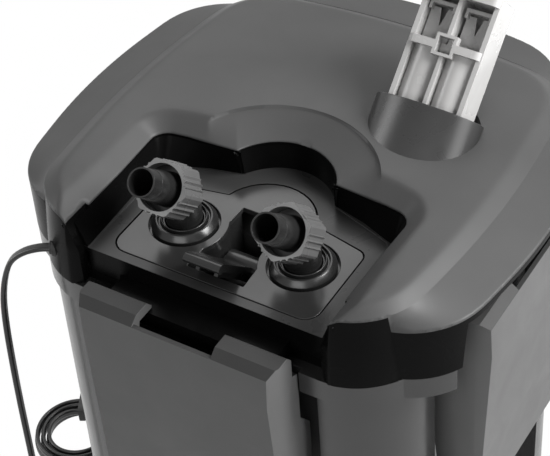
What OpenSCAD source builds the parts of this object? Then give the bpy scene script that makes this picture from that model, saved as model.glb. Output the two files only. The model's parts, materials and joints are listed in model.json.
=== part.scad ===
// Canister filter for an aquarium: a square canister with three media baskets, held by four clips
// to a pump head that carries a lift-out tap block and a pull-out prefilter.
// Millimetres. +Z is up, the hose taps face -Y, the origin is the middle of the canister's foot plane.

/* [Canister] */
// Height from the floor to the top of the collar
can_h = 340; // [310:1:380]
// Half width across the corner pillars
can_half = 103; // [100:0.5:106]
// Corner radius of the canister
can_corner_r = 37; // [33:0.5:40]
// Wall thickness of the canister
can_wall = 3; // [2:0.25:4]
// Depth of the flat pocket behind each clip
pocket_depth = 11; // [9:0.5:12]
// Half width of that pocket
pocket_half = 63; // [61:0.5:66]
// Height of the plain base below the pockets
base_h = 30; // [20:1:50]
// Height of the collar band
collar_h = 12.5; // [10:0.5:16]
// How far the collar stands out from the pillars
collar_lip = 2; // [1:0.25:3]
// Height of the rubber feet
foot_h = 4; // [2:0.5:8]
// Radius of a rubber foot
foot_r = 12; // [8:0.5:15]

/* [Clips] */
// How far a clip's outermost face stands out from the pillars
clip_out = 23; // [22:0.5:27]
// Half width of a clip's plate
clip_half = 54; // [48:0.5:56]
// Thickness of a clip's plate, hook and cheeks
clip_t = 3; // [2:0.25:4]
// Length of a clip below the collar's top
clip_drop = 122; // [100:1:140]
// Height of a clip's hook above the collar's top
clip_top = 15; // [13:0.5:18]
// Half width of the finger notch in a clip
notch_half = 21.5; // [15:0.5:28]
// Radius of a clip's hinge pin
clip_pin_r = 2; // [1.5:0.1:2.5]

/* [Head] */
// How far the cap's sides stand out from the pillars
cap_out = 2.5; // [1:0.5:4]
// How much longer than its half width the cap's half length is
cap_longer = 2; // [0.5:0.5:3.5]
// How far the cap's middle lies behind the canister's axis
cap_back = 4; // [3:0.5:5]
// Corner radius of the cap
cap_corner_r = 37; // [34:0.5:40]
// Bow of the cap's sides
cap_bow = 4.5; // [3:0.25:6]
// Height of the cap's shoulder above the collar
shoulder_z = 36.5; // [35:0.5:39]
// Height of the cap's flat rim above the collar
rim_z = 41; // [40:0.25:43]
// Height of the crown above the collar
crown_z = 44; // [43:0.25:47]
// Wall thickness of the cap
cap_wall = 3; // [2.5:0.25:4]
// How far a side wing stands out from the cap
wing_out = 23; // [21.5:0.5:27]
// How far the rear wing stands out from the cap
wing_out_rear = 23.5; // [21.5:0.5:26]
// How much shorter than the cap's half length a wing's half length is
wing_in = 13.5; // [10:0.5:17]
// Height of a wing's outer edge above the collar
wing_z = 30.7; // [28:0.5:33]
// Half width of a wing's clip opening at its top
wing_gap = 66; // [62:0.5:70]

/* [Tap recess] */
// Height of the recess floor above the collar
floor_z = 20; // [18:0.5:22]
// Half width of the recess floor
floor_half = 64; // [60:0.5:66]
// Distance of the floor's front edge behind the cap's front
front_set = 6; // [5:0.5:8]
// Radius of the rear bulge of the recess
bulge_r = 28.6; // [27:0.2:30]
// Distance of that bulge's middle behind the taps' line
bulge_back = 30; // [28:0.5:32]
// Radius of the lowered apron round the bulge
apron_r = 53; // [48:0.5:56]
// Thickness of the tray that lines the recess
tray_t = 2.5; // [2:0.25:3]

/* [Taps] */
// Distance between the two hose taps
tap_pitch = 66; // [62:0.5:70]
// Distance of the taps' line behind the recess floor's front edge
tap_back = 36.5; // [35:0.5:39]
// Radius of the swivel ring
ring_r = 16.2; // [14:0.2:17]
// Height of the swivel ring above the tap plate
ring_h = 3.6; // [2.5:0.1:5]
// Outer radius of an elbow's tube
elbow_r = 9; // [8:0.1:10]
// Bore radius of an elbow
elbow_bore = 6.3; // [5.5:0.1:6.5]
// Height of an elbow's bend above the recess floor
bend_z = 18.7; // [17:0.5:22]
// Angle of the nozzle above the horizontal
nozzle_deg = 45; // [35:1:60]
// Length of the nozzle from the bend to its tip
nozzle_len = 40.3; // [36:0.5:48]
// Outer radius of the nozzle's tip, for a hose of 16 mm bore
nozzle_tip_r = 7.1; // [6.9:0.1:7.5]
// Distance from the bend to the nut's open face
nut_face = 21.6; // [20:0.5:24]
// Length of a hose nut
nut_len = 18; // [14:0.5:18]
// Bore radius of a hose nut, for a hose of 22 mm outside
nut_bore_r = 11.4; // [11.2:0.1:12]
// Radius across a hose nut's six corners
nut_corner_r = 14.4; // [14:0.1:15]
// Half width of the lever's grip
lever_half = 9.8; // [8:0.2:11]
// Distance from the lever's axis to its grip
lever_len = 44.5; // [40:0.5:48]
// Rest angle of the lever above the horizontal
lever_deg = 44; // [40:1:50]

/* [Prefilter] */
// Distance of the port's middle to the right of the axis
port_x = 48; // [44:0.5:52]
// Distance of the port's middle behind the taps' line
port_back = 92; // [90:0.5:95]
// Lean of the port and its insert from the vertical
port_lean = 48; // [44:1:50]
// Half width of the hood
hood_half = 28.5; // [27:0.5:30]
// Half depth of the hood
hood_deep = 19; // [18:0.5:20]
// Length of the hood above the cap, along its lean
hood_len = 10.4; // [8:0.2:14]
// Wall thickness of the hood
hood_wall = 2; // [1.5:0.25:2.5]
// Half width of the insert
insert_half = 19.7; // [18:0.1:21]
// Half depth of the insert
insert_deep = 13; // [11:0.5:14]
// How far the insert stands out of the hood
insert_out = 60; // [50:1:66]
// Whole length of the insert
insert_len = 85; // [78:1:90]

/* [Pump] */
// Radius of the motor housing
motor_r = 32; // [28:0.5:34]
// Distance of the motor's axis from the canister's left face
motor_side = 65; // [61:1:69]
// Distance of the motor's axis from the face of the rear pillars
motor_in = 59; // [56:1:63]
// Radius of the impeller
impeller_r = 21; // [18:0.5:23]
// Radius of the rotor magnet
magnet_r = 11; // [9:0.5:12]
// Radius of the ceramic shaft
shaft_r = 2; // [1.5:0.1:2.5]

/* [Media] */
// Gap between a basket and the canister's wall
basket_gap = 4; // [3:0.5:9]
// Height of a basket
basket_h = 80; // [70:1:84]
// Cut across each corner of a basket
basket_cut = 50; // [48:1:54]
// Wall thickness of a basket
basket_t = 2; // [1.5:0.25:3]
// Distance of a basket's studs from its side walls
stud_in = 18; // [16:1:22]
// Distance of a basket's studs from its middle
stud_y = 20; // [16:1:24]
// Height of the coarse foam
foam_coarse_h = 52; // [30:1:56]
// Height of the fine pad
foam_fine_h = 46; // [30:1:56]
// Radius of a ceramic ring
ring_media_r = 7; // [5:0.5:7.5]
// Length of a ceramic ring
ring_media_h = 14; // [10:1:16]
// Radius of the riser tube
riser_r = 12; // [10:0.5:13]
// Distance of the riser's middle from the faces of its two pillars
riser_in = 30.5; // [30:0.5:33]

/* [Cord] */
// Width of the flat twin cord
cord_w = 5.2; // [4.6:0.1:6]
// Thickness of the flat twin cord
cord_t = 3.2; // [2.8:0.1:3.6]

/* [Hidden] */

$fn = 48;
eps = 0.01;
gap = 0.3;
black = "#26282a";
dark = "#33363a";
grey = "#8d9094";
pale = "#c4c6c8";

left_right = [-1, 1];

// ---------------------------------------------------------------- outlines

function arc_pts(c, r, a0, a1, n = 8) =
    [for (i = [0:n]) let (a = a0 + (a1 - a0) * i / n) c + r * [cos(a), sin(a)]];

function rounded_pts(hx, hy, r, n = 8) = concat(
    arc_pts([hx - r, r - hy], r, -90, 0, n),
    arc_pts([hx - r, hy - r], r, 0, 90, n),
    arc_pts([r - hx, hy - r], r, 90, 180, n),
    arc_pts([r - hx, r - hy], r, 180, 270, n));

// Points of a bowed side from a to b, bulging along out
function bow_pts(a, b, out, bow, n = 8) =
    [for (i = [1:n - 1]) let (t = i / n) a + (b - a) * t + out * bow * (1 - pow(2 * t - 1, 2))];

// A rounded rectangle with bowed sides and a straight front
function bowed_pts(hx, hy, bow, r, n = 14) = let (x = hx - bow, y = hy - bow) concat(
    arc_pts([x - r, r - hy], r, -90, 0, n),
    bow_pts([x, r - hy], [x, y - r], [1, 0], bow),
    arc_pts([x - r, y - r], r, 0, 90, n),
    bow_pts([x - r, y], [r - x, y], [0, 1], bow),
    arc_pts([r - x, y - r], r, 90, 180, n),
    bow_pts([-x, y - r], [-x, r - hy], [-1, 0], bow),
    arc_pts([r - x, r - hy], r, 180, 270, n));

function oval_pts(a, b, n = 40) = [for (i = [0:n - 1]) [a * cos(360 * i / n), b * sin(360 * i / n)]];

module slab(pts, z, t = 0.02) translate([0, 0, z]) linear_extrude(t) polygon(pts);
module prism(pts, z0, z1) translate([0, 0, z0]) linear_extrude(z1 - z0) polygon(pts);
module bar(x, y, z) translate([x[0], y[0], z[0]]) cube([x[1] - x[0], y[1] - y[0], z[1] - z[0]]);
module rod(r, z0, z1) translate([0, 0, z0]) cylinder(r = r, h = z1 - z0);
module ring(r_out, r_in, z0, z1) difference() {
    rod(r_out, z0, z1);
    rod(r_in, z0 - 1, z1 + 1);
}
module tapered(r0, r1, z0, z1) translate([0, 0, z0]) cylinder(r1 = r0, r2 = r1, h = z1 - z0);
module four_sides() for (a = [0:90:270]) rotate(a) children();
module four_corners(x, y) for (i = left_right, j = left_right) translate([i * x, j * y, 0]) children();

// ---------------------------------------------------------------- canister

clip_reach = can_half + clip_out;
cap_half = can_half + cap_out;
cap_len = cap_half + cap_longer;
wing_reach = cap_half + wing_out;
wing_rear = cap_len + wing_out_rear;
wing_half = cap_len - wing_in;
floor_front = cap_len - cap_back - front_set;
tap_y = floor_front - tap_back;
bulge_y = tap_y - bulge_back;
port_y = port_back - tap_y;
motor_y = can_half - motor_in;
motor_x = can_half - motor_side;
collar_half = can_half + collar_lip;
pocket_reach = can_half - pocket_depth;
inner_half = pocket_reach - can_wall;
corner_in = pocket_half + can_wall;
lug_t = 5;
lug_gap = 1;
pin_reach = can_half + 5;
pin_z = can_h - clip_drop + 4;
lug_r = 5.5;
ear_gap = wing_gap + 4;

function can_pts(grow = 0) = rounded_pts(can_half + grow, can_half + grow, can_corner_r + grow, 14);
function cap_pts(inset = 0, bow = cap_bow) =
    bowed_pts(cap_half - inset, cap_len - inset, bow, max(cap_corner_r - inset, 4));
function side_wing_pts(inset = 0) =
    bowed_pts(wing_reach - inset, wing_half - inset, cap_bow, 40 - inset);
function rear_wing_pts(inset = 0) =
    bowed_pts(wing_half - inset, wing_rear - inset, cap_bow, 40 - inset);

// The lobed plan shared by the collar and the head, without its clip openings
module lobed_plan(inset) {
    translate([0, cap_back]) intersection() {
        polygon(side_wing_pts(inset));
        square([4 * wing_reach, 2 * wing_half], center = true);
    }
    translate([0, cap_back]) intersection() {
        polygon(rear_wing_pts(inset));
        translate([-2 * wing_half, 0]) square([4 * wing_half, 2 * wing_rear]);
    }
}

module collar_ears() difference() {
    translate([0, 0, can_h - collar_h]) linear_extrude(collar_h) difference() {
        lobed_plan(0.5);
        for (a = [0, 90, 180]) rotate(a) translate([collar_half - 3, -ear_gap]) square([60, 2 * ear_gap]);
        translate([-2 * can_half, -3 * can_half]) square([4 * can_half, 2 * can_half]);
        polygon(can_pts(-can_wall));
    }
}

module canister_body() color(black) {
    difference() {
        union() {
            prism(can_pts(), foot_h, can_h);
            prism(can_pts(collar_lip), can_h - collar_h, can_h);
            collar_ears();
        }
        four_sides() bar([pocket_reach, 2 * can_half], [-pocket_half, pocket_half],
                         [base_h, can_h - collar_h]);
        // gaps in the collar for the clips
        four_sides() bar([can_half - lug_gap, 2 * can_half], [-clip_half - lug_gap, clip_half + lug_gap],
                         [can_h - collar_h - 1, can_h + 1]);
        prism(rounded_pts(inner_half, inner_half, 20), foot_h + can_wall, can_h + 1);
        intersection() {
            prism(can_pts(-can_wall), foot_h + can_wall, can_h - 26);
            four_corners(corner_in + can_half / 2, corner_in + can_half / 2)
                prism(rounded_pts(can_half / 2, can_half / 2, 4), foot_h, can_h + 2);
        }
        foot_spots() rod(foot_r - 4, foot_h - eps, foot_h + 1);
    }
    four_sides() for (s = left_right) clip_lug(s);
}

module clip_lug(s) {
    inner = clip_half + lug_gap;
    translate([0, s > 0 ? inner + lug_t : -inner, pin_z]) rotate([90, 0, 0]) difference() {
        union() {
            rod_x(pocket_reach - 1, pin_reach, lug_r, lug_t);
            translate([pin_reach, 0, 0]) cylinder(r = lug_r, h = lug_t);
        }
        translate([pin_reach, 0, -1]) cylinder(r = clip_pin_r, h = lug_t + 2);
    }
}

module rod_x(x0, x1, half, t) translate([x0, -half, 0]) cube([x1 - x0, 2 * half, t]);

// Four corner feet, and one that keeps the middle of the floor from sagging
module foot_spots() {
    children();
    for (a = [45:90:315]) rotate(a) translate([can_half - 12, 0, 0]) children();
}
module canister_feet() color("#1b1c1d") foot_spots() {
    rod(foot_r, 0, foot_h);
    rod(foot_r - 4 - gap, foot_h - 1, foot_h + 1 - gap);
}

// ---------------------------------------------------------------- clips

hook_in = can_half + 5.5;
cheek_in = can_half + 1.3;
cheek_low = can_half - 6.5;
ledge_reach = can_half + 9;
ledge_half = 46;
ledge_h = 9;
plate_top = [clip_reach - 5.5, clip_top];
plate_edge = [clip_reach - 0.7, clip_top - 3.7];
hook_top = [hook_in + 3.5, clip_top];
hook_tip = [hook_in, ledge_h + gap + 1.5];
notch_low = -2;
plate_kink = [clip_reach, -7];
plate_foot = [clip_reach - 4.5, -clip_drop];

module clip_section(pts, t0, t1) translate([0, t1, can_h]) rotate([90, 0, 0]) linear_extrude(t1 - t0)
    polygon(pts);

side_bevel = [8, 3.8];
// Plan of a clip: a plate whose sides are bevelled towards its face
module clip_plan() prism([
    [inner_half, -clip_half], [clip_reach + 1 - side_bevel[0], -clip_half], [clip_reach + 1, side_bevel[1] - clip_half],
    [clip_reach + 1, clip_half - side_bevel[1]], [clip_reach + 1 - side_bevel[0], clip_half], [inner_half, clip_half]],
    pin_z - 10, can_h + clip_top + 1);

module clip() difference() {
    intersection() {
        union() {
            // plate with the hook along its top
            clip_section([plate_top, plate_edge, plate_kink, plate_foot, plate_foot - [clip_t, 0],
                          plate_kink - [clip_t, 0], [hook_in + 10, ledge_h + gap], [hook_in, ledge_h + gap],
                          hook_tip, hook_top], -clip_half, clip_half);
            for (s = left_right) clip_cheek(s);
        }
        clip_plan();
    }
    // finger notch, with the plate's wall left standing in front
    clip_section([[hook_in - 1, notch_low], [clip_reach - clip_t, notch_low], [clip_reach - clip_t, plate_edge[1]],
                  [clip_reach + 1, plate_edge[1]], [clip_reach + 1, clip_top + 1], [hook_in - 1, clip_top + 1]],
                 -notch_half, notch_half);
    translate([pin_reach, clip_half + 5, pin_z]) rotate([90, 0, 0])
        cylinder(r = clip_pin_r + 0.06, h = 2 * clip_half + 10);
}

// Side wall of a clip, with the step that passes the collar
cheek_step = [-32, -42];
module clip_cheek(s) {
    outer = s > 0 ? clip_half : clip_t - clip_half;
    clip_section([hook_tip, [hook_in, 0], [cheek_in, -2], [cheek_in, cheek_step[0]],
                  [cheek_low, cheek_step[1]], [cheek_low, 1 - clip_drop / 2],
                  [pin_reach - lug_r, pin_z - can_h], [pin_reach - 3, pin_z - can_h - 4.5],
                  [pin_reach + 4, pin_z - can_h - 5.5], plate_foot - [1, 0], plate_kink - [1, 0],
                  plate_edge - [1, 0], plate_top - [1, 2]], outer - clip_t, outer);
}

module clip_at(a) color(dark) rotate(a) clip();
module clip_front() clip_at(-90);
module clip_right() clip_at(0);
module clip_rear() clip_at(90);
module clip_left() clip_at(180);

module clip_pins() color("silver") four_sides() {
    half = clip_half + lug_gap + lug_t;
    translate([pin_reach, half, pin_z]) rotate([90, 0, 0]) cylinder(r = clip_pin_r, h = 2 * half);
}

// ---------------------------------------------------------------- baskets and media

basket_half = inner_half - basket_gap;
basket_floor = foot_h + can_wall + 5;
basket_pitch = basket_h + 3;
slot_w = 4;

function basket_pts(inset = 0) = let (h = basket_half - inset, k = h - basket_cut + inset * 0.6)
    [[k, -h], [h, -k], [h, k], [k, h], [-k, h], [-h, k], [-h, -k], [-k, -h]];

module basket(i) color(dark) translate([0, 0, basket_floor + i * basket_pitch]) {
    difference() {
        prism(basket_pts(), 0, basket_h);
        prism(basket_pts(basket_t), basket_t, basket_h + 1);
        for (k = [-7:7]) bar([k * 10 - slot_w / 2, k * 10 + slot_w / 2],
                             [-basket_half + 24, basket_half - 24], [-1, basket_t + 1]);
    }
    // stacking rim
    difference() {
        prism(basket_pts(-1.5), basket_h - 6, basket_h);
        prism(basket_pts(basket_t), basket_h - 7, basket_h + 1);
    }
    // lift grips on two sides
    for (s = left_right) translate([0, s * (basket_half - basket_t - 1.4), 0])
        difference() {
            bar([-22, 22], [-1.5, 1.5], [basket_h - 22, basket_h]);
            bar([-16, 16], [-3, 3], [basket_h - 16, basket_h - 6]);
        }
    // studs that carry the basket above
    four_corners(basket_half - stud_in, stud_y) rod(4, basket_h - 1, basket_pitch);
    four_corners(basket_half - stud_in, stud_y) rod(4, basket_t, basket_h);
}
module basket_lower() {
    basket(0);
    color(dark) translate([0, 0, basket_floor]) four_corners(basket_half - stud_in, stud_y)
        rod(6, foot_h + can_wall - basket_floor, 0);
}
module basket_middle() basket(1);
module basket_upper() basket(2);

// rings lie in rows, as many as fit between the studs
ring_pitch = 2.4 * ring_media_r;
ring_rows = floor((basket_half - stud_in - 16) / ring_pitch);
module ceramic_rings() color("#e8e4da") for (k = [0:2], i = [-ring_rows:ring_rows], j = [-ring_rows:ring_rows])
    if (abs(i) + abs(j) < ring_rows + 2)
        translate([i * ring_pitch + ((k % 2) * 0.3 - 0.15) * ring_media_r, j * ring_pitch, basket_floor + basket_t + k * (ring_media_h + 0.5) + eps])
            ring(ring_media_r, 3.5, 0, ring_media_h);

module foam_block(i, h) translate([0, 0, basket_floor + i * basket_pitch + basket_t + gap]) difference() {
    prism(basket_pts(basket_t + 4), 0, h);
    four_corners(basket_half - stud_in, stud_y) rod(5, -1, h + 1);
}
module foam_coarse() color("#2f4f7a") foam_block(1, foam_coarse_h);
module foam_fine() color("#e6e6e0") foam_block(2, foam_fine_h);

riser_at = [can_half - riser_in, can_half - riser_in];
module riser_tube() color(dark) translate([riser_at[0], riser_at[1], 0]) {
    difference() {
        ring(riser_r, riser_r - 2, foot_h + can_wall + 6, can_h - 8);
        for (a = [0:90:270]) rotate(a) bar([0, 20], [-3, 3], [foot_h + can_wall + 5, foot_h + can_wall + 22]);
    }
    for (a = [45:90:315]) rotate(a) bar([riser_r - 2, riser_r], [-1.5, 1.5],
                                       [foot_h + can_wall, foot_h + can_wall + 8]);
}

// ---------------------------------------------------------------- head

base_t = 4;
skirt_h = 12;
skirt_half = inner_half - 0.5;
deck_z = can_h + base_t;
socket_r = 12;
socket_in = 9.6;
socket_low = can_h - 36;
chamber_low = can_h - 24;
duct_r = 8;
duct_z = [can_h - 27, can_h - 15];
well_len = 74;

module tap_spots() for (s = left_right) translate([s * tap_pitch / 2, -tap_y, 0]) children();
module motor_spot() translate([-motor_x, motor_y, 0]) children();
module riser_spot() translate([riser_at[0], riser_at[1], 0]) children();

well_x = 54.5;
well_y = [-tap_y - 23.5, 20.4 - tap_y];
well_floor = can_h - 12;
module well_plan(grow) translate([-well_x - grow, well_y[0] - grow])
    square([2 * (well_x + grow), well_y[1] - well_y[0] + 2 * grow]);

module screw_places() for (x = [24 - cap_half, cap_half - 24], y = [-tap_y - 3, motor_y])
    translate([x, y, 0]) children();

module head_base() color(dark) difference() {
    union() {
        difference() {
            intersection() {
                prism(can_pts(-cap_wall - 1), can_h, deck_z);
                translate([0, cap_back, 0]) prism(cap_pts(cap_wall + 0.5), can_h - 1, deck_z + 1);
            }
            bar([-block_slot[1], block_slot[1]], [-2 * can_half, lining + 0.5 - floor_front], [can_h - 1, deck_z + 1]);
        }
        difference() {
            prism(rounded_pts(skirt_half, skirt_half, 19.5), can_h - skirt_h, can_h + eps);
            prism(rounded_pts(skirt_half - 3, skirt_half - 3, 16.5), can_h - skirt_h - 1, can_h);
        }
        translate([0, 0, well_floor - base_t]) linear_extrude(base_t + deck_z - well_floor) well_plan(2.5);
        tap_spots() rod(socket_r, socket_low, well_floor);
        motor_spot() rod(motor_r + 3, chamber_low, deck_z);
        riser_spot() ring(riser_r + 2.4, riser_r + 0.2, can_h - 20, can_h + eps);
    }
    translate([0, 0, can_h - 5]) seal_groove();
    translate([0, 0, well_floor]) linear_extrude(40) well_plan(0);
    tap_spots() rod(socket_in, socket_low + 3, deck_z + 1);
    translate([tap_pitch / 2, -tap_y, 0]) rod(6, socket_low - 1, deck_z);
    translate([-tap_pitch / 2, -tap_y, duct_z[0]]) rotate([-90, 0, 0]) cylinder(r = duct_r - 2, h = 20);
    motor_spot() rod(impeller_r + 4, chamber_low - 1, can_h - 4);
    motor_spot() rod(magnet_r + 3, chamber_low - 1, deck_z + 1);
    translate([-motor_x, motor_y, duct_z[1]]) rotate([90, 0, 0]) cylinder(r = duct_r - 2, h = 50);
    motor_spot() volute_screw_spots() rod(1.5, chamber_low - 1, chamber_low + 7);
    riser_spot() rod(riser_r - 2, can_h - 25, deck_z + 1);
    riser_spot() rod(riser_r + 0.2, can_h - 25, can_h - 7.7);
    screw_places() rod(2.1, can_h - 1, deck_z + 1);
    port_frame() prism(oval_pts(hood_half + 1, hood_deep + 1), -well_len - 2, 40);
}

seal_r = 2;
module seal_groove() difference() {
    prism(rounded_pts(skirt_half + 1, skirt_half + 1, 20.5), -seal_r, seal_r);
    prism(rounded_pts(skirt_half - seal_r + 0.5, skirt_half - seal_r + 0.5, 18), -seal_r - 1, seal_r + 1);
}
module head_seal() color("#4a4c50") translate([0, 0, can_h - 5]) difference() {
    prism(rounded_pts(inner_half - 0.1, inner_half - 0.1, 19.9), -seal_r + 0.1, seal_r - 0.1);
    prism(rounded_pts(skirt_half - seal_r + 0.6, skirt_half - seal_r + 0.6, 18), -seal_r - 1, seal_r + 1);
}

// Recess plan: the straight part, which is convex, and the round bulge behind it
kink = [25.4, bulge_y - 12.5];
rear_side = bulge_y + 4;
function recess_pts(grow, front) = [
    [-floor_half - grow, -front], [floor_half + grow, -front],
    [floor_half + grow, grow - rear_side], [floor_half - 4 + grow, grow - rear_side + 5.5],
    [kink[0], -kink[1] + grow], [-kink[0], -kink[1] + grow],
    [-floor_half + 4 - grow, grow - rear_side + 5.5], [-floor_half - grow, grow - rear_side]];

tray_draft = 3.5;
block_slot = [floor_half + 3, floor_half + 7.2];
past = 60;
ceiling = rim_z - 2.5;
module head_cover() color(black) {
    cover_shell();
    clip_ledge(-90, floor_front - 1);
}
module clip_ledge(a, x0) rotate(a) bar([x0, ledge_reach], [-ledge_half, ledge_half],
                                       [can_h + eps, can_h + ledge_h]);

module cover_shell() difference() {
    union() {
        translate([0, cap_back, 0]) difference() {
            union() {
                prism(cap_pts(), can_h + eps, can_h + shoulder_z);
                hull() {
                    slab(cap_pts(), can_h + shoulder_z - 0.02);
                    slab(cap_pts(7), can_h + rim_z);
                    slab(cap_pts(50, 1), can_h + crown_z);
                }
            }
            prism(cap_pts(cap_wall), can_h - 1, can_h + shoulder_z - cap_wall);
            prism(cap_pts(12), can_h, can_h + ceiling);
        }
        wing_roots();
        wing(0, wing_reach, side_wing_pts(), side_wing_pts(3));
        wing(180, wing_reach, side_wing_pts(), side_wing_pts(3));
        wing(90, wing_rear, rear_wing_pts(), rear_wing_pts(3));
        // ledges that the clips hook over
        for (a = [0, 90, 180]) clip_ledge(a, cap_half - cap_wall - 1);
        recess_lining();
        screw_places() rod(5, deck_z + gap, can_h + ceiling + 0.5);
        rear_pocket(rear_hollow - cap_wall, rear_half + cap_wall, shoulder_z - 4, -eps);
    }
    recess_cut();
    bar([-block_slot[0], block_slot[0]], [-2 * cap_len, -floor_front], [can_h - 1, 2 * can_h]);
    screw_places() rod(1.9, deck_z - 1, deck_z + 18);
    rear_pocket(rear_hollow, rear_half, clip_top + 4, 9);
    // slots beside the recess, open to the front
    for (s = left_right) bar(s > 0 ? block_slot : [-block_slot[1], -block_slot[0]],
                             [-cap_len - 10, 11.5 - floor_front], [can_h - 1, can_h + 32]);
    port_frame() prism(oval_pts(hood_half + 0.3, hood_deep + 0.3), -well_len - 2, 70);
    cord_hole();
}

// Hollow in the cap's longer rear wall, where the rear clip hooks on
rear_hollow = cap_len - 0.3;
rear_half = 58;
module rear_pocket(y, half, top, out) bar([-half, half], [y, cap_len + cap_back + out], [can_h + eps, can_h + top]);

// Where the wings' end walls run into the cap's round corners
module wing_roots() translate([0, cap_back, 0]) difference() {
    intersection() {
        union() {
            prism(side_wing_pts(), can_h + eps, can_h + wing_z);
            prism(rear_wing_pts(), can_h + eps, can_h + wing_z);
        }
        for (a = [0, 1], b = [0, 1]) mirror([a, 0, 0]) mirror([0, b, 0]) {
            bar([cap_half - 16, cap_half - 1], [wing_half - 16, wing_half + 1], [can_h, can_h + shoulder_z]);
            bar([wing_half - 16, wing_half + 1], [cap_len - 16, cap_len - 1], [can_h, can_h + shoulder_z]);
        }
    }
    prism(cap_pts(cap_wall), can_h - 1, can_h + shoulder_z);
    // the rear wing has no front half
    bar([-wing_half - 1, wing_half + 1], [-2 * cap_len, -cap_len + 6], [can_h - 1, can_h + shoulder_z]);
}

// One wing: a sloped plate with end walls, open over the clip
module wing(a, reach, pts, inner) {
    drop = atan((shoulder_z - wing_z) / (reach - cap_half));
    slope_top = [cap_half, can_h + shoulder_z];
    start = cap_half - cap_wall;
    translate([0, cap_back, 0]) difference() {
        intersection() {
            prism(pts, can_h + eps, can_h + shoulder_z + 1);
            rotate(a) wing_room(start, 0, drop);
        }
        intersection() {
            prism(inner, can_h - 1, can_h + shoulder_z + 1);
            rotate(a) wing_room(start - 1, -cap_wall, drop);
        }
        rotate(a) translate([0, a == 90 ? 0 : (a == 0 ? -cap_back : cap_back), 0])
            intersection() {
                translate([start + cap_wall, 0, can_h - 1]) rotate([90, 0, 90])
                    linear_extrude(60) polygon([[-wing_gap - 5, 0], [wing_gap + 5, 0],
                                                [wing_gap, shoulder_z + 1], [-wing_gap, shoulder_z + 1]]);
                wing_room(start, -cap_wall, drop);
            }
    }
}
// Everything beyond x = start and below the wing's sloped top, moved by shift
module wing_room(start, shift, drop) intersection() {
    bar([start, 3 * can_half], [-2 * can_half, 2 * can_half], [can_h - 5, can_h + shoulder_z + 5]);
    translate([cap_half, 0, can_h + shoulder_z + shift]) rotate([0, drop, 0])
        bar([-2 * can_half, 3 * can_half], [-2 * can_half, 2 * can_half], [-2 * can_half, 0]);
}

lining = 3;
// Walls of the cap that stand round the recess, and the thick plate under the lowered apron
module recess_lining() difference() {
    top = can_h + ceiling + 0.5;
    union() {
        prism(recess_pts(tray_t + lining + 6.5, cap_len - cap_back - eps), deck_z + gap, top);
        bar([-block_slot[0], block_slot[0]], [-floor_front, lining - floor_front], [can_h + eps, deck_z + 1]);
        translate([0, -bulge_y, 0]) rod(bulge_r + tray_t + lining + 1, can_h + 12, top);
        translate([0, -bulge_y - 3, 0]) rod(apron_r + 1, can_h + shoulder_z - 5, top);
    }
    prism(recess_pts(tray_t + 0.5, floor_front - lining), can_h - 1, can_h + 12);
    // room for the tray's front beside the ledge
    for (s = left_right) bar(s > 0 ? [ledge_half + 0.5, floor_half + 0.5] : [-floor_half - 0.5, -ledge_half - 0.5],
                             [-floor_front - 1, lining + 0.1 - floor_front], [deck_z + 1, can_h + 12]);
}

module recess_cut() {
    // the tray's room
    translate([0, 0, can_h]) hull() {
        slab(recess_pts(tray_t + 0.4, floor_front + past), ledge_h + 0.5);
        slab(recess_pts(tray_t + 2.5, floor_front + past), shoulder_z - 0.5);
    }
    translate([0, -bulge_y, can_h]) rod(bulge_r + tray_t + 0.4, ledge_h + 4, 60);
    // bevel round the arms
    translate([0, 0, can_h]) hull() {
        slab(recess_pts(5, floor_front + past), shoulder_z - 1);
        slab(recess_pts(15, floor_front + past), rim_z + 4);
    }
    // lowered apron
    translate([0, -bulge_y - 3, can_h]) {
        tapered(bulge_r - 2, apron_r, shoulder_z - 2, rim_z - 1.5);
        rod(apron_r, rim_z - 1.5 - eps, 60);
    }
}

module cover_screws() color("silver") screw_places() {
    rod(1.9, can_h, deck_z + 16);
    rod(3.6, can_h - 3, can_h);
}

module tap_tray() color(black) difference() {
    union() {
        translate([0, 0, can_h]) hull() {
            slab(recess_pts(tray_t, floor_front), floor_z - tray_t);
            slab(recess_pts(tray_t + 2, floor_front), shoulder_z - 2);
        }
        translate([0, -bulge_y, can_h]) rod(bulge_r + tray_t, floor_z - tray_t, shoulder_z - 2);
        bar([-floor_half, floor_half], [-floor_front, tray_t - floor_front],
            [can_h + ledge_h + 1, can_h + floor_z - 1]);
        for (s = left_right) bar(s > 0 ? [ledge_half + 1, floor_half] : [-floor_half, -ledge_half - 1],
                                 [-floor_front, tray_t - floor_front], [deck_z + 1 + gap, can_h + floor_z - 1]);
    }
    translate([0, 0, can_h]) hull() {
        slab(recess_pts(0, floor_front + 9), floor_z);
        slab(recess_pts(tray_draft, floor_front + 9), shoulder_z);
    }
    translate([0, -bulge_y, can_h]) rod(bulge_r, floor_z, 60);
    prism(plate_pts(0.6), can_h + floor_z - 5, can_h + 60);
    port_frame() prism(oval_pts(hood_half + 0.5, hood_deep + 0.5), -well_len, 0);
}

// ---------------------------------------------------------------- tap block

plate_front = floor_front - 5.8;
plate_half = 55.5;
plate_t = 3;
plate_z = can_h + floor_z;
function plate_pts(grow = 0) = concat(
    arc_pts([plate_half - 8, 8 - plate_front], 8 + grow, -90, 0, 5),
    arc_pts([plate_half - 5, 16 - tap_y], 5 + grow, 0, 75, 4),
    arc_pts([0, -bulge_y - 11], 25.5 + grow, 17, 163, 16),
    arc_pts([5 - plate_half, 16 - tap_y], 5 + grow, 105, 180, 4),
    arc_pts([8 - plate_half, 8 - plate_front], 8 + grow, 180, 270, 5));

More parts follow.
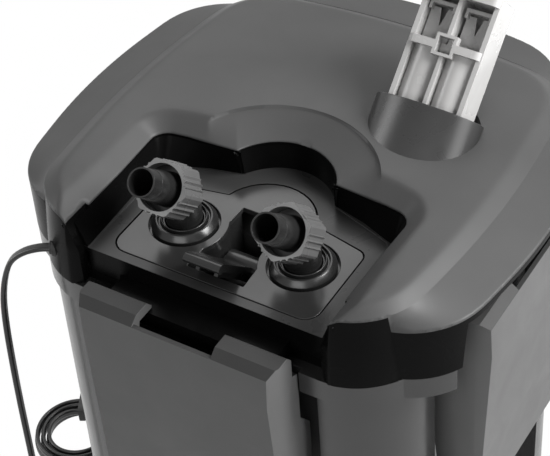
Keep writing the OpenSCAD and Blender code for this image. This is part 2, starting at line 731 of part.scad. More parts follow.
mouth_rear = tap_y - 21.6;
mouth_front = plate_front - 5.7;
module lever_mouth(grow) difference() {
    polygon([[-13.1 - grow, -mouth_rear + grow], [13.1 + grow, -mouth_rear + grow],
             [15.5 + grow, -mouth_front], [-15.5 - grow, -mouth_front]]);
    for (s = left_right) translate([s * tap_pitch / 2, -tap_y]) circle(r = 21.7 - grow);
}

barrel_r = 10;
flange_r = ring_r - 4.1;
flange_z = plate_z - 5;
barrel_z = can_h + 4;
body_low = well_floor + gap;
module valve_axis() translate([0, -tap_y, barrel_z]) rotate([0, 90, 0]) children();

module tap_plate() color(black) difference() {
    translate([0, 0, plate_z - plate_t]) linear_extrude(plate_t) difference() {
        polygon(plate_pts());
        lever_mouth(0);
        for (s = left_right) translate([s * tap_pitch / 2, -tap_y]) circle(r = ring_r + 1.2);
    }
}

module tap_body() color(dark) difference() {
    union() {
        tap_spots() rod(20, body_low, plate_z - plate_t);
        bar([-tap_pitch / 2, tap_pitch / 2], [-mouth_front + 2, -mouth_rear - 2], [body_low, plate_z - plate_t]);
        tap_spots() rod(8.4, socket_low + 4, body_low + 1);
    }
    // room of the lever
    translate([0, 0, body_low + 4]) linear_extrude(60) lever_mouth(0);
    // flow bores
    tap_spots() rod(6, socket_low, plate_z + 5);
    tap_spots() rod(flange_r + 0.2, flange_z - 0.2, plate_z + 5);
    // valve barrels and their shaft
    for (s = left_right) valve_axis() translate([0, 0, s * tap_pitch / 2 - 13]) cylinder(r = barrel_r + 0.1, h = 26);
    valve_axis() translate([0, 0, -26]) cylinder(r = 3.08, h = 52);
    // seal grooves on the spigots
    tap_spots() ring(9, 7, socket_low + 6, socket_low + 8.4);
}

module valve_barrel(s) color(grey) valve_axis() translate([0, 0, s * tap_pitch / 2]) difference() {
    translate([0, 0, -12.8]) cylinder(r = barrel_r, h = 25.6);
    rotate([0, 90, 0]) cylinder(r = 6, h = 40, center = true);
    translate([0, 0, -14]) cylinder(r = 3, h = 28);
}
module valve_barrel_left() valve_barrel(-1);
module valve_barrel_right() valve_barrel(1);
module lever_shaft() color("silver") valve_axis() translate([0, 0, -tap_pitch / 2 - 12.8])
    cylinder(r = 3, h = tap_pitch + 25.6);

// The lever: a hub on the shaft, a sloped blade, and a grip bar across its end
module tap_lever() color(black) translate([0, -tap_y, barrel_z]) rotate([-lever_deg, 0, 0]) {
    blade = 3.2;
    difference() {
        union() {
            rotate([0, 90, 0]) translate([0, 0, -9]) cylinder(r = 6.5, h = 18);
            bar([-lever_half + 3, lever_half - 3], [-lever_len + 14, -2], [-blade / 2, blade / 2]);
            bar([-lever_half, lever_half], [-lever_len, -lever_len + 16], [-blade / 2, blade / 2 + 0.6]);
            for (s = left_right) bar([s * 5 - 1, s * 5 + 1], [-lever_len + 6, -3], [-5, 0]);
            translate([-lever_half, -lever_len, -0.6]) rotate([0, 90, 0]) cylinder(r = 2.4, h = 2 * lever_half);
        }
        rotate([0, 90, 0]) translate([0, 0, -14]) cylinder(r = 3, h = 28);
    }
}

module swivel_ring(s) color(black) translate([s * tap_pitch / 2, -tap_y, plate_z]) rotate_extrude()
    polygon([[elbow_r + 0.4, -2.9], [ring_r, -2.9], [ring_r, 0.6], [ring_r - 0.7, 1.6], [ring_r - 2, ring_h - 0.4],
             [ring_r - 2.4, ring_h], [12.9, ring_h], [12.6, ring_h - 1.8], [11.6, ring_h - 1.8],
             [11.3, ring_h + 0.6], [10.7, ring_h + 0.6], [10.3, ring_h - 1.2], [elbow_r + 0.4, ring_h - 1.2]]);
module swivel_ring_left() swivel_ring(-1);
module swivel_ring_right() swivel_ring(1);

bend = [0, -tap_y, plate_z + bend_z];
module nozzle_frame(s) translate([s * tap_pitch / 2, bend[1], bend[2]]) rotate([90 - nozzle_deg, 0, 0]) children();

thread_r = nut_bore_r - 0.08;
tip_len = 8;
module elbow(s) color(black) difference() {
    union() {
        translate([s * tap_pitch / 2, -tap_y, 0]) {
            rod(elbow_r, flange_z, bend[2]);
            rod(flange_r, flange_z, plate_z - 3.1);
            translate([0, 0, bend[2]]) sphere(r = elbow_r + 0.2);
        }
        nozzle_frame(s) {
            rod(elbow_r, 0, nut_face - nut_len + 6);
            rod(thread_r, nut_face - nut_len + 1, nut_face - nut_len + 9);
            hose_tail(nut_face - nut_len + 8);
        }
    }
    translate([s * tap_pitch / 2, -tap_y, 0]) {
        rod(elbow_bore, plate_z - 10, bend[2]);
        translate([0, 0, bend[2]]) sphere(r = elbow_bore + 0.2);
    }
    nozzle_frame(s) rod(elbow_bore, 0, nozzle_len + 1);
}
module hose_tail(z0) {
    step = (nozzle_len - tip_len - z0) / 3;
    rod(nozzle_tip_r, z0, nozzle_len);
    for (i = [0:2]) tapered(nozzle_tip_r + 1.5 - i * 0.4, nozzle_tip_r + 0.9 - i * 0.35,
                            z0 + i * step, z0 + (i + 1) * step);
}
module elbow_left() elbow(-1);
module elbow_right() elbow(1);

nut_back = nut_face - nut_len;
module hose_nut(s) color(grey) nozzle_frame(s) rotate(s > 0 ? 30 : 0) difference() {
    union() {
        rod(nut_bore_r + 1.2, nut_back, nut_face);
        intersection() {
            translate([0, 0, nut_back]) cylinder(r = nut_corner_r, h = nut_len, $fn = 6);
            rod(nut_corner_r - 0.4, nut_back, nut_face);
        }
        // small ribs between the corners
        for (a = [0:60:300], k = [-1:1]) rotate(a + 30 + k * 13)
            translate([nut_bore_r + 1.3, 0, nut_back]) cylinder(r = 0.75, h = nut_len, $fn = 4);
    }
    rod(nut_bore_r, nut_back - 1, nut_face + 1);
}
module hose_nut_left() hose_nut(-1);
module hose_nut_right() hose_nut(1);

module spigot_seals() color("#4a4c50") tap_spots() ring(9.3, 7.05, socket_low + 6.1, socket_low + 8.3);

// ---------------------------------------------------------------- pump

motor_top = deck_z + 30;
module motor_housing() color(dark) motor_spot() difference() {
    union() {
        rod(motor_r, deck_z, motor_top);
        rod(motor_r + 3, deck_z, deck_z + 3);
    }
    ring(motor_r - 3, magnet_r + 4, deck_z + 3, motor_top - 3);
    rod(magnet_r + 1, deck_z - 1, motor_top - 8);
    rod(6, motor_top - 9, motor_top - 4);
}
module stator() color("#b87333") motor_spot() ring(motor_r - 3.3, magnet_r + 4.3, deck_z + 3.3, motor_top - 3.3);
module rotor_magnet() color("#55585c") motor_spot() ring(magnet_r, shaft_r + 0.06, can_h - 3, motor_top - 9);
module rotor_shaft() color("#f0efe8") motor_spot() rod(shaft_r, can_h - 24, motor_top - 5);
module shaft_bush_upper() color(dark) motor_spot() ring(6, shaft_r, motor_top - 8, motor_top - 4);
module shaft_bush_lower() color(dark) motor_spot() ring(6, shaft_r, can_h - 26, can_h - 21.5);
module impeller() color(grey) motor_spot() {
    ring(impeller_r, shaft_r + 0.06, can_h - 8, can_h - 6);
    ring(5, shaft_r + 0.06, can_h - 20, can_h - 3);
    for (a = [0:60:300]) rotate(a) bar([4.6, impeller_r - 0.5], [-1, 1], [can_h - 19, can_h - 7]);
}
module volute_cover() color(dark) motor_spot() difference() {
    rod(motor_r + 3, can_h - 28, can_h - 24);
    rod(6, can_h - 26, can_h - 23);
    for (a = [0:60:300]) rotate(a) translate([11, 0, 0]) rod(3.6, can_h - 29, can_h - 23);
    volute_screw_spots() rod(1.6, can_h - 29, can_h - 23);
}
module volute_screw_spots() for (a = [45:90:315]) rotate(a) translate([motor_r - 2, 0, 0]) children();
module volute_screws() color("silver") motor_spot() volute_screw_spots() {
    rod(1.5, chamber_low - 4, chamber_low + 6);
    rod(3, chamber_low - 6, chamber_low - 4);
}

module duct_end(x, y, z, r) translate([x, y, z]) rotate([90, 0, 0]) cylinder(r = r, h = 0.1, $fn = 32);
module outlet_duct() color(dark) {
    x = [-tap_pitch / 2, -motor_x];
    y = [-tap_y + socket_r + gap, motor_y - motor_r - 3 - gap];
    difference() {
        hull() {
            duct_end(x[0], y[0] + 0.1, duct_z[0], duct_r);
            duct_end(x[1], y[1], duct_z[1], duct_r);
        }
        hull() {
            duct_end(x[0], y[0], duct_z[0], duct_r - 2);
            duct_end(x[1], y[1] + 0.1, duct_z[1], duct_r - 2);
        }
    }
}

// ---------------------------------------------------------------- prefilter

module port_frame() translate([port_x, port_y, can_h + rim_z - 1]) rotate([-port_lean, 0, 0]) children();

module prefilter_port() color(black) port_frame() difference() {
    prism(oval_pts(hood_half, hood_deep), -well_len, hood_len);
    prism(oval_pts(hood_half - hood_wall, hood_deep - hood_wall), -well_len + 2, hood_len + 1);
    for (k = [-2:2]) bar([k * 9 - 2, k * 9 + 2], [-9, 9], [-well_len - 1, -well_len + 3]);
}

insert_low = hood_len + insert_out - insert_len;
insert_top = hood_len + insert_out;
bridge_z = insert_top - 30;
column_r = 8.4;
module insert_columns(r, z0, z1) for (s = left_right) translate([s * 9.1, 0, 0]) rod(r, z0, z1);

module prefilter_frame() color(pale) port_frame() difference() {
    union() {
        prism(rounded_pts(insert_half, insert_deep, 4), insert_top - 5, insert_top);
        prism(rounded_pts(insert_half, insert_deep, 4), insert_low, insert_low + 3);
        for (s = left_right) bar(s > 0 ? [insert_half - 2.5, insert_half] : [-insert_half, 2.5 - insert_half],
                                 [-insert_deep + 3, insert_deep - 3], [insert_low + 1, insert_top - 1]);
        bar([-1, 1], [-insert_deep + 2, insert_deep - 2], [insert_low + 1, insert_top - 1]);
        prism(rounded_pts(insert_half, insert_deep - 1, 4), bridge_z - 2, bridge_z + 2);
        bar([-5.5, 5.5], [-insert_deep + 1, -insert_deep + 6], [bridge_z - 5, bridge_z + 6]);
        insert_columns(column_r + 1.2, insert_low + 1, bridge_z);
        bar([-insert_half + 1, insert_half - 1], [insert_deep - 3, insert_deep - 1], [bridge_z, insert_top - 1]);
    }
    insert_columns(column_r, insert_low + 3, bridge_z - 2);
    bar([-4, 4], [-insert_deep, -insert_deep + 7], [bridge_z - 3.5, bridge_z + 4.5]);
}
module prefilter_sponges() color("#55585c") port_frame() insert_columns(column_r - gap, insert_low + 3 + gap, bridge_z - 2 - gap);

module prefilter_flap(s) color(grey) port_frame() translate([s * 9.6, -3, 0]) {
    difference() {
        bar([-7, 7], [0, 1.6], [bridge_z + 2, bridge_z + 19]);
        translate([0, 3, bridge_z + 19]) rotate([90, 0, 0]) linear_extrude(5) polygon([[-2, 1], [2, 1], [0, -9]]);
    }
    bar([-7, 7], [-4, 1.6], [bridge_z + 20, bridge_z + 22]);
    bar([-7, -5.5], [-4, 1.6], [bridge_z + 17, bridge_z + 21]);
    bar([5.5, 7], [-4, 1.6], [bridge_z + 17, bridge_z + 21]);
}
module prefilter_flap_left() prefilter_flap(-1);
module prefilter_flap_right() prefilter_flap(1);

module prefilter_seal() color(black) port_frame() difference() {
    prism(oval_pts(hood_half - hood_wall - 0.4, hood_deep - hood_wall - 0.4), insert_low - 3, insert_low);
    prism(oval_pts(hood_half - hood_wall - 8, hood_deep - hood_wall - 7), insert_low - 4, insert_low + 1);
}

// ---------------------------------------------------------------- mains cord

cord_deg = 205;
exit_at = [21 - cap_half, 0.3 - floor_front, can_h + 11];
grommet_r = 4.5;
module cord_frame() translate(exit_at) rotate(cord_deg) rotate([0, 90, 0]) children();
module cord_hole() cord_frame() rod(grommet_r + 0.1, -16, 20);
module cord_grommet() color("#1b1c1d") cord_frame() difference() {
    union() {
        rod(grommet_r, -8, 1.5);
        rod(grommet_r - 1, 1, 3);
    }
    translate([0, 0, -9]) linear_extrude(20)
        polygon(oval_pts(cord_t / 2 + 0.15, cord_w / 2 + 0.15, 16));
}

// Route of the free cord: out of the grommet, down, and along the floor to the coil
cord_route = [
    [-81, -95.6, 351], [-85, -97.4, 351], [-92, -100.6, 350.5], [-100, -103.8, 347], [-107, -106.2, 340],
    [-112, -107.6, 328], [-115.5, -108.6, 312], [-117.5, -109, 292], [-118.5, -109.5, 265], [-119, -110, 235],
    [-119, -110.5, 205], [-119, -111, 175], [-119, -112, 145], [-119.5, -113, 115], [-120.5, -115, 88],
    [-122.5, -118, 62], [-126.5, -122.5, 38], [-134, -127.5, 18], [-145, -130, 6], [-158, -128, 2.4],
    [-171, -119, 2.2], [-181, -105, 2.4], [-187.5, -88, 2.8], [-190.5, -70, 3.2], [-191.2, -50, 3.6],
    [-191, -30, 3.9], [-190.8, -10, 3.9], [-190.8, 10, 3.9], [-190.8, 28, 3.9], [-190.8, 34, 3.9]];
floor_from = 19;
floor_till = 25;
drop_side = [0.34, -0.94, 0];

coil_at = [-222, 34];
coil_out = 31.2;
coil_low = cord_route[len(cord_route) - 1][2];
turn_pitch = cord_t + 0.8;
layer_pitch = cord_w + 0.7;
turn_back = 3.25;
coil_turns = 6;
coil_steps = 24;
tail_out = 7.4;
plug_z = 8.2;

function unit(v) = v / norm(v);
function ease(t) = let (u = min(max(t, 0), 1)) u * u * (3 - 2 * u);
function spline(p, i, t) = let (n = len(p) - 1, a = p[max(i - 1, 0)], b = p[i], c = p[min(i + 1, n)],
    d = p[min(i + 2, n)]) b + (c - a) * t / 2 + (2 * a - 5 * b + 4 * c - d) * t * t / 2
    + (3 * b - a - 3 * c + d) * t * t * t / 2;
function smooth(p, k = 2) = concat(
    [for (i = [0:len(p) - 2], j = [0:k - 1]) spline(p, i, j / k)], [p[len(p) - 1]]);
function heading(p, i) = unit(p[min(i + 1, len(p) - 1)] - p[max(i - 1, 0)]);
// The cord's wide side turns from level to upright on its way to the coil
function side_ref(i) = let (s = ease((i - floor_from) / (floor_till - floor_from)))
    drop_side * (1 - s) + [0, 0, 1] * s;
function square_to(t, v) = unit(v - t * (t * v));
function section(p, t, side, n) = let (up = cross(t, side))
    [for (k = [0:n - 1]) p + side * cord_w / 2 * cos(360 * k / n) + up * cord_t / 2 * sin(360 * k / n)];

module tube(rings, n) {
    last = (len(rings) - 1) * n;
    polyhedron([for (r = rings, v = r) v], concat(
        [for (i = [0:len(rings) - 2], k = [0:n - 1], h = [0, 1])
            let (a = i * n + k, b = i * n + (k + 1) % n) h == 0 ? [a, a + n, b + n] : [a, b + n, b]],
        [for (k = [1:n - 2]) [0, k, k + 1]],
        [for (k = [1:n - 2]) [last, last + k + 1, last + k]]));
}
function path_length(p, i = 0) = i >= len(p) - 1 ? 0 : norm(p[i + 1] - p[i]) + path_length(p, i + 1);

module power_cord() {
    path = smooth(cord_route);
    echo(cord_length = path_length(path));
    color("#1b1c1d") tube([for (i = [0:len(path) - 1]) let (t = i < 2 ? unit(path[1] - path[0])
        : i > len(path) - 3 ? [0, 1, 0] : heading(path, i))
        section(path[i], t, square_to(t, side_ref(i / 2)), 8)], 8);
}

function coil_pt(u) = let (
    tail = ease((u - coil_turns + 0.3) / 0.3),
    r = coil_out - turn_pitch * (turn_back - abs(u - turn_back)) + tail_out * tail,
    z = coil_low + layer_pitch * ease((u - turn_back + 0.25) / 0.5))
    [coil_at[0] + r * cos(360 * u), coil_at[1] + r * sin(360 * u), z + (plug_z - z) * tail];
coil_path = [for (i = [0:coil_turns * coil_steps]) coil_pt(i / coil_steps)];
coil_end = coil_path[len(coil_path) - 1] + [0, cord_w, 0];

module cord_coil() {
    path = concat(coil_path, [coil_end]);
    n = len(path);
    rings = [for (i = [0:n - 1]) let (t = i == 0 || i > n - 3 ? [0, 1, 0] : heading(path, i))
        section(path[i], t, square_to(t, [0, 0, 1]), 6)];
    echo(coil_length = path_length(path));
    echo(least_gap = min([for (i = [0:n - 14], j = [i + 13:n - 1]) if (norm(path[i] - path[j]) < 9)
        min([for (a = rings[i], b = rings[j]) norm(a - b)])]));
    color("#1b1c1d") tube(rings, 6);
}

tie_deg = 118;
tie_w = 4;
tie_t = 0.8;
module cord_tie() color("#3a3c3e") translate([coil_at[0], coil_at[1], 0]) rotate(tie_deg)
    translate([coil_out - turn_pitch * turn_back / 2, 0, coil_low + layer_pitch / 2])
        rotate([90, 0, 0]) {
            x = turn_pitch * turn_back / 2 + cord_t / 2 + gap;
            z = (layer_pitch + cord_w) / 2 + gap;
            translate([0, 0, -tie_w / 2]) linear_extrude(tie_w) difference() {
                polygon(rounded_pts(x + tie_t, z + tie_t, 3));
                polygon(rounded_pts(x, z, 2.2));
            }
            translate([x + tie_t - 0.2, -1.5, -tie_w / 2]) cube([6, 1.2, tie_w]);
        }

plug_len = 36;
module plug_frame() translate([coil_end[0], coil_end[1], plug_z]) rotate([-90, 0, 0]) children();
module power_plug() color("#1b1c1d") plug_frame() {
    tapered(3.6, 5.6, 0, 22);
    hull() {
        prism(rounded_pts(6, 5.5, 3, 4), 20, 20.1);
        prism(rounded_pts(13, 7.9, 5, 4), 30, 20 + plug_len);
    }
}
module plug_pins() color("silver") plug_frame() for (s = left_right) translate([s * 9.3, 0, 0]) {
    rod(2, 20 + plug_len, 20 + plug_len + 17);
    tapered(2, 1.2, 20 + plug_len + 17 - eps, 20 + plug_len + 19);
}

canister_body();
canister_feet();
clip_front();
clip_right();
clip_rear();
clip_left();
clip_pins();
riser_tube();
basket_lower();
basket_middle();
basket_upper();
ceramic_rings();
foam_coarse();
foam_fine();
head_base();
head_seal();
head_cover();
cover_screws();
tap_tray();
motor_housing();
stator();
rotor_magnet();
impeller();
rotor_shaft();
shaft_bush_upper();
shaft_bush_lower();
volute_cover();
volute_screws();
outlet_duct();
tap_plate();
tap_body();
valve_barrel_left();
valve_barrel_right();
lever_shaft();
tap_lever();
swivel_ring_left();
swivel_ring_right();
elbow_left();
elbow_right();
hose_nut_left();
hose_nut_right();
spigot_seals();
prefilter_port();
prefilter_frame();
prefilter_sponges();
prefilter_flap_left();
prefilter_flap_right();
prefilter_seal();
cord_grommet();
power_cord();
cord_coil();
cord_tie();
power_plug();
plug_pins();
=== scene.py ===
"""Looks of the canister filter: camera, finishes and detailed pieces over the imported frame."""
import functools
import json
import math

import bmesh
import bpy
import numpy as np
from mathutils import Matrix, Vector, geometry, kdtree


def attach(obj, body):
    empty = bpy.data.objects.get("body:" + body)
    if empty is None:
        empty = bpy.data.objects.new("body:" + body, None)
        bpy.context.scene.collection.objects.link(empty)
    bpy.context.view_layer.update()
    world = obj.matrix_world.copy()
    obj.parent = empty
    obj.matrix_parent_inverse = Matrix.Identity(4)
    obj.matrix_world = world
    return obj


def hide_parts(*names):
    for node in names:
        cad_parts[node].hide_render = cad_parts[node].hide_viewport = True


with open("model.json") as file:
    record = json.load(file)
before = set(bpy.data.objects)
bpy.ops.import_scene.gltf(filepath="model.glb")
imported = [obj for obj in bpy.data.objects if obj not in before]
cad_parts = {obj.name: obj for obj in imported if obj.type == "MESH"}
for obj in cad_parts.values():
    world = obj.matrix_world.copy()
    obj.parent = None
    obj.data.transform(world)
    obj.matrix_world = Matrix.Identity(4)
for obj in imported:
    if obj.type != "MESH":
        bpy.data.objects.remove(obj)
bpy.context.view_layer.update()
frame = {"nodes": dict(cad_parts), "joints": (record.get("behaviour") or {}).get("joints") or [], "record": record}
MM = 0.001


def mm(*v):
    return Vector(v) * MM


# ------------------------------------------------------------------ camera

# place in millimetres, angles in degrees, lens in millimetres, shift in parts of the sensor
CAM_AT = (361.5, -566.5, 934.6)
CAM_AZIMUTH = 32.32
CAM_ELEVATION = 42.17
CAM_ROLL = -3.374
CAM_LENS, CAM_SENSOR = 117.0, 36
CAM_SHIFT = (-0.075, -0.016)


def make_camera():
    turn, rise, roll = (math.radians(v) for v in (CAM_AZIMUTH, CAM_ELEVATION, CAM_ROLL))
    back = Vector((math.sin(turn) * math.cos(rise), -math.cos(turn) * math.cos(rise), math.sin(rise)))
    right = Vector((math.cos(turn), math.sin(turn), 0))
    up = back.cross(right)
    x = right * math.cos(roll) + up * math.sin(roll)
    y = up * math.cos(roll) - right * math.sin(roll)
    cam = bpy.data.objects.new("camera", bpy.data.cameras.new("camera"))
    bpy.context.scene.collection.objects.link(cam)
    cam.matrix_world = Matrix.Translation(mm(*CAM_AT)) @ Matrix((x, y, back)).transposed().to_4x4()
    cam.data.lens = CAM_LENS
    cam.data.sensor_width = CAM_SENSOR
    cam.data.shift_x, cam.data.shift_y = CAM_SHIFT
    cam.data.clip_end = 20
    bpy.context.scene.camera = cam
    bpy.context.scene.view_settings.view_transform = "Standard"


make_camera()

# ------------------------------------------------------------------ effects shared by the finishes


def new_group(name, inputs, outputs):
    """A shader node group with named sockets, with its input and output nodes."""
    tree = bpy.data.node_groups.new(name, "ShaderNodeTree")
    for label, kind, value in inputs:
        socket = tree.interface.new_socket(label, in_out="INPUT", socket_type="NodeSocket" + kind)
        if value is not None:
            socket.default_value = value
    for label, kind in outputs:
        tree.interface.new_socket(label, in_out="OUTPUT", socket_type="NodeSocket" + kind)
    return tree, tree.nodes.new("NodeGroupInput").outputs, tree.nodes.new("NodeGroupOutput").inputs


def add_node(tree, kind, links=None, **values):
    """A node whose properties and inputs are set by name, and whose inputs are linked by name or number."""
    node = tree.nodes.new("ShaderNode" + kind)
    for key, value in values.items():
        if hasattr(node, key):
            setattr(node, key, value)
        else:
            node.inputs[key.replace("_", " ")].default_value = value
    for key, source in (links or {}).items():
        tree.links.new(source, node.inputs[key])
    return node


def make_moulding():
    """Uneven colour and gloss of a moulded surface, with the grain of its mould."""
    tree, given, out = new_group("moulding", [
        ("Vector", "Vector", None), ("Dark", "Color", (0, 0, 0, 1)), ("Light", "Color", (0, 0, 0, 1)),
        ("Rough Low", "Float", 0.3), ("Rough High", "Float", 0.4), ("Grain Scale", "Float", 2000)],
        [("Color", "Color"), ("Roughness", "Float"), ("Grain", "Float")])
    cloud = add_node(tree, "TexNoise", {"Vector": given["Vector"]}, Scale=16, Detail=4)
    shade = add_node(tree, "MapRange", {"Value": cloud.outputs["Fac"]}, From_Min=0.3, From_Max=0.7)
    mix = add_node(tree, "Mix", {0: shade.outputs[0], 6: given["Dark"], 7: given["Light"]}, data_type="RGBA")
    tree.links.new(mix.outputs[2], out["Color"])
    smear = add_node(tree, "TexNoise", {"Vector": given["Vector"]}, Scale=48, Detail=6, Distortion=0.6)
    gloss = add_node(tree, "MapRange", {"Value": smear.outputs["Fac"], "To Min": given["Rough Low"],
                                        "To Max": given["Rough High"]}, From_Min=0.3, From_Max=0.7)
    tree.links.new(gloss.outputs[0], out["Roughness"])
    grain = add_node(tree, "TexNoise", {"Vector": given["Vector"], "Scale": given["Grain Scale"]}, Detail=2)
    tree.links.new(grain.outputs["Fac"], out["Grain"])
    return tree


def make_pores():
    """Open cells of a foam or sintered pad: a height and a mask of the deep holes."""
    tree, given, out = new_group("pores", [("Vector", "Vector", None), ("Scale", "Float", 400)],
                                 [("Height", "Float"), ("Holes", "Float")])
    cells = add_node(tree, "TexVoronoi", {"Vector": given["Vector"], "Scale": given["Scale"]}, Randomness=1.0)
    rise = add_node(tree, "MapRange", {"Value": cells.outputs["Distance"]}, From_Min=0.0, From_Max=0.6)
    hole = add_node(tree, "MapRange", {"Value": cells.outputs["Distance"]}, From_Min=0.25, From_Max=0.05)
    tree.links.new(rise.outputs[0], out["Height"])
    tree.links.new(hole.outputs[0], out["Holes"])
    return tree


def make_dust():
    """A thin film of dust on the faces that look up, thicker in soft patches."""
    tree, given, out = new_group("dust", [("Vector", "Vector", None), ("Amount", "Float", 0.05)],
                                 [("Mask", "Float")])
    normal = add_node(tree, "NewGeometry")
    parts = add_node(tree, "SeparateXYZ", {0: normal.outputs["Normal"]})
    upward = add_node(tree, "MapRange", {"Value": parts.outputs["Z"]}, From_Min=0.5, From_Max=1.0)
    cloud = add_node(tree, "TexNoise", {"Vector": given["Vector"]}, Scale=30, Detail=5)
    patch = add_node(tree, "MapRange", {"Value": cloud.outputs["Fac"]}, From_Min=0.35, From_Max=0.75)
    both = add_node(tree, "Math", {0: upward.outputs[0], 1: patch.outputs[0]}, operation="MULTIPLY")
    scaled = add_node(tree, "Math", {0: both.outputs[0], 1: given["Amount"]}, operation="MULTIPLY")
    tree.links.new(scaled.outputs[0], out["Mask"])
    return tree


MOULDING = make_moulding()
PORES = make_pores()
DUST = make_dust()

# ------------------------------------------------------------------ finishes


DUST_COLOR = 0.32, 0.03
GRAIN_DEPTH = 0.05
FOAM_ROUGH = 0.85, 0.97
METAL_GRAIN, METAL_DEPTH, METAL_DRAW = 0.25, 0.02, 0.08


def grey(v, warm=0.0):
    return (v * (1 + warm), v, v * (1 - warm), 1)


def add_group(tree, group, at, **values):
    """A shared effect placed in a material, with its own values."""
    node = tree.nodes.new("ShaderNodeGroup")
    node.node_tree = group
    tree.links.new(at, node.inputs["Vector"])
    for key, value in values.items():
        node.inputs[key.replace("_", " ")].default_value = value
    return node


def start_finish(name, spec=0.5, metal=0.0):
    """A new material with its shader and its pattern's coordinates."""
    mat = bpy.data.materials.new(name)
    mat.use_nodes = True
    shader = mat.node_tree.nodes["Principled BSDF"]
    shader.inputs["Specular IOR Level"].default_value = spec
    shader.inputs["Metallic"].default_value = metal
    return mat, mat.node_tree, shader, add_node(mat.node_tree, "TexCoord").outputs["Object"]


def moulded(name, dark, light, rough, grain=0.2, grain_size=0.4, dust=0.04, spec=0.5):
    """Moulded plastic or rubber, with its grain's strength, the grain's size in millimetres and its dust."""
    mat, tree, shader, at = start_finish(name, spec)
    skin = add_group(tree, MOULDING, at, Dark=dark, Light=light, Rough_Low=rough[0], Rough_High=rough[1],
                     Grain_Scale=1 / (grain_size * MM))
    film = add_group(tree, DUST, at, Amount=dust)
    mix = add_node(tree, "Mix", {0: film.outputs["Mask"], 6: skin.outputs["Color"]}, data_type="RGBA")
    mix.inputs[7].default_value = grey(*DUST_COLOR)
    tree.links.new(mix.outputs[2], shader.inputs["Base Color"])
    tree.links.new(skin.outputs["Roughness"], shader.inputs["Roughness"])
    bump = add_node(tree, "Bump", {"Height": skin.outputs["Grain"]}, Strength=grain, Distance=GRAIN_DEPTH * MM)
    tree.links.new(bump.outputs[0], shader.inputs["Normal"])
    return mat


def porous(name, dark, light, cell):
    """Foam or filter floss with open cells of the given size in millimetres."""
    mat, tree, shader, at = start_finish(name, spec=0.2)
    skin = add_group(tree, MOULDING, at, Dark=dark, Light=light, Rough_Low=FOAM_ROUGH[0], Rough_High=FOAM_ROUGH[1],
                     Grain_Scale=1 / (cell * MM))
    cells = add_group(tree, PORES, at, Scale=1 / (cell * MM))
    # the deep holes of the cells are painted darker, painted shade
    mix = add_node(tree, "Mix", {0: cells.outputs["Holes"], 6: skin.outputs["Color"]}, data_type="RGBA")
    mix.inputs[7].default_value = tuple(v * 0.25 for v in dark[:3]) + (1,)
    tree.links.new(mix.outputs[2], shader.inputs["Base Color"])
    tree.links.new(skin.outputs["Roughness"], shader.inputs["Roughness"])
    bump = add_node(tree, "Bump", {"Height": cells.outputs["Height"]}, Strength=0.8, Distance=cell * 0.4 * MM)
    tree.links.new(bump.outputs[0], shader.inputs["Normal"])
    return mat


def metal(name, color, light, rough):
    """Drawn or turned metal with fine lines along its height."""
    mat, tree, shader, at = start_finish(name, metal=1.0)
    lines = add_node(tree, "Mapping", {"Vector": at})
    lines.inputs["Scale"].default_value = (1, 1, METAL_DRAW)
    skin = add_group(tree, MOULDING, lines.outputs[0], Dark=color, Light=light, Rough_Low=rough[0],
                     Rough_High=rough[1], Grain_Scale=1 / (METAL_GRAIN * MM))
    tree.links.new(skin.outputs["Color"], shader.inputs["Base Color"])
    tree.links.new(skin.outputs["Roughness"], shader.inputs["Roughness"])
    bump = add_node(tree, "Bump", {"Height": skin.outputs["Grain"]}, Strength=0.1, Distance=METAL_DEPTH * MM)
    tree.links.new(bump.outputs[0], shader.inputs["Normal"])
    return mat


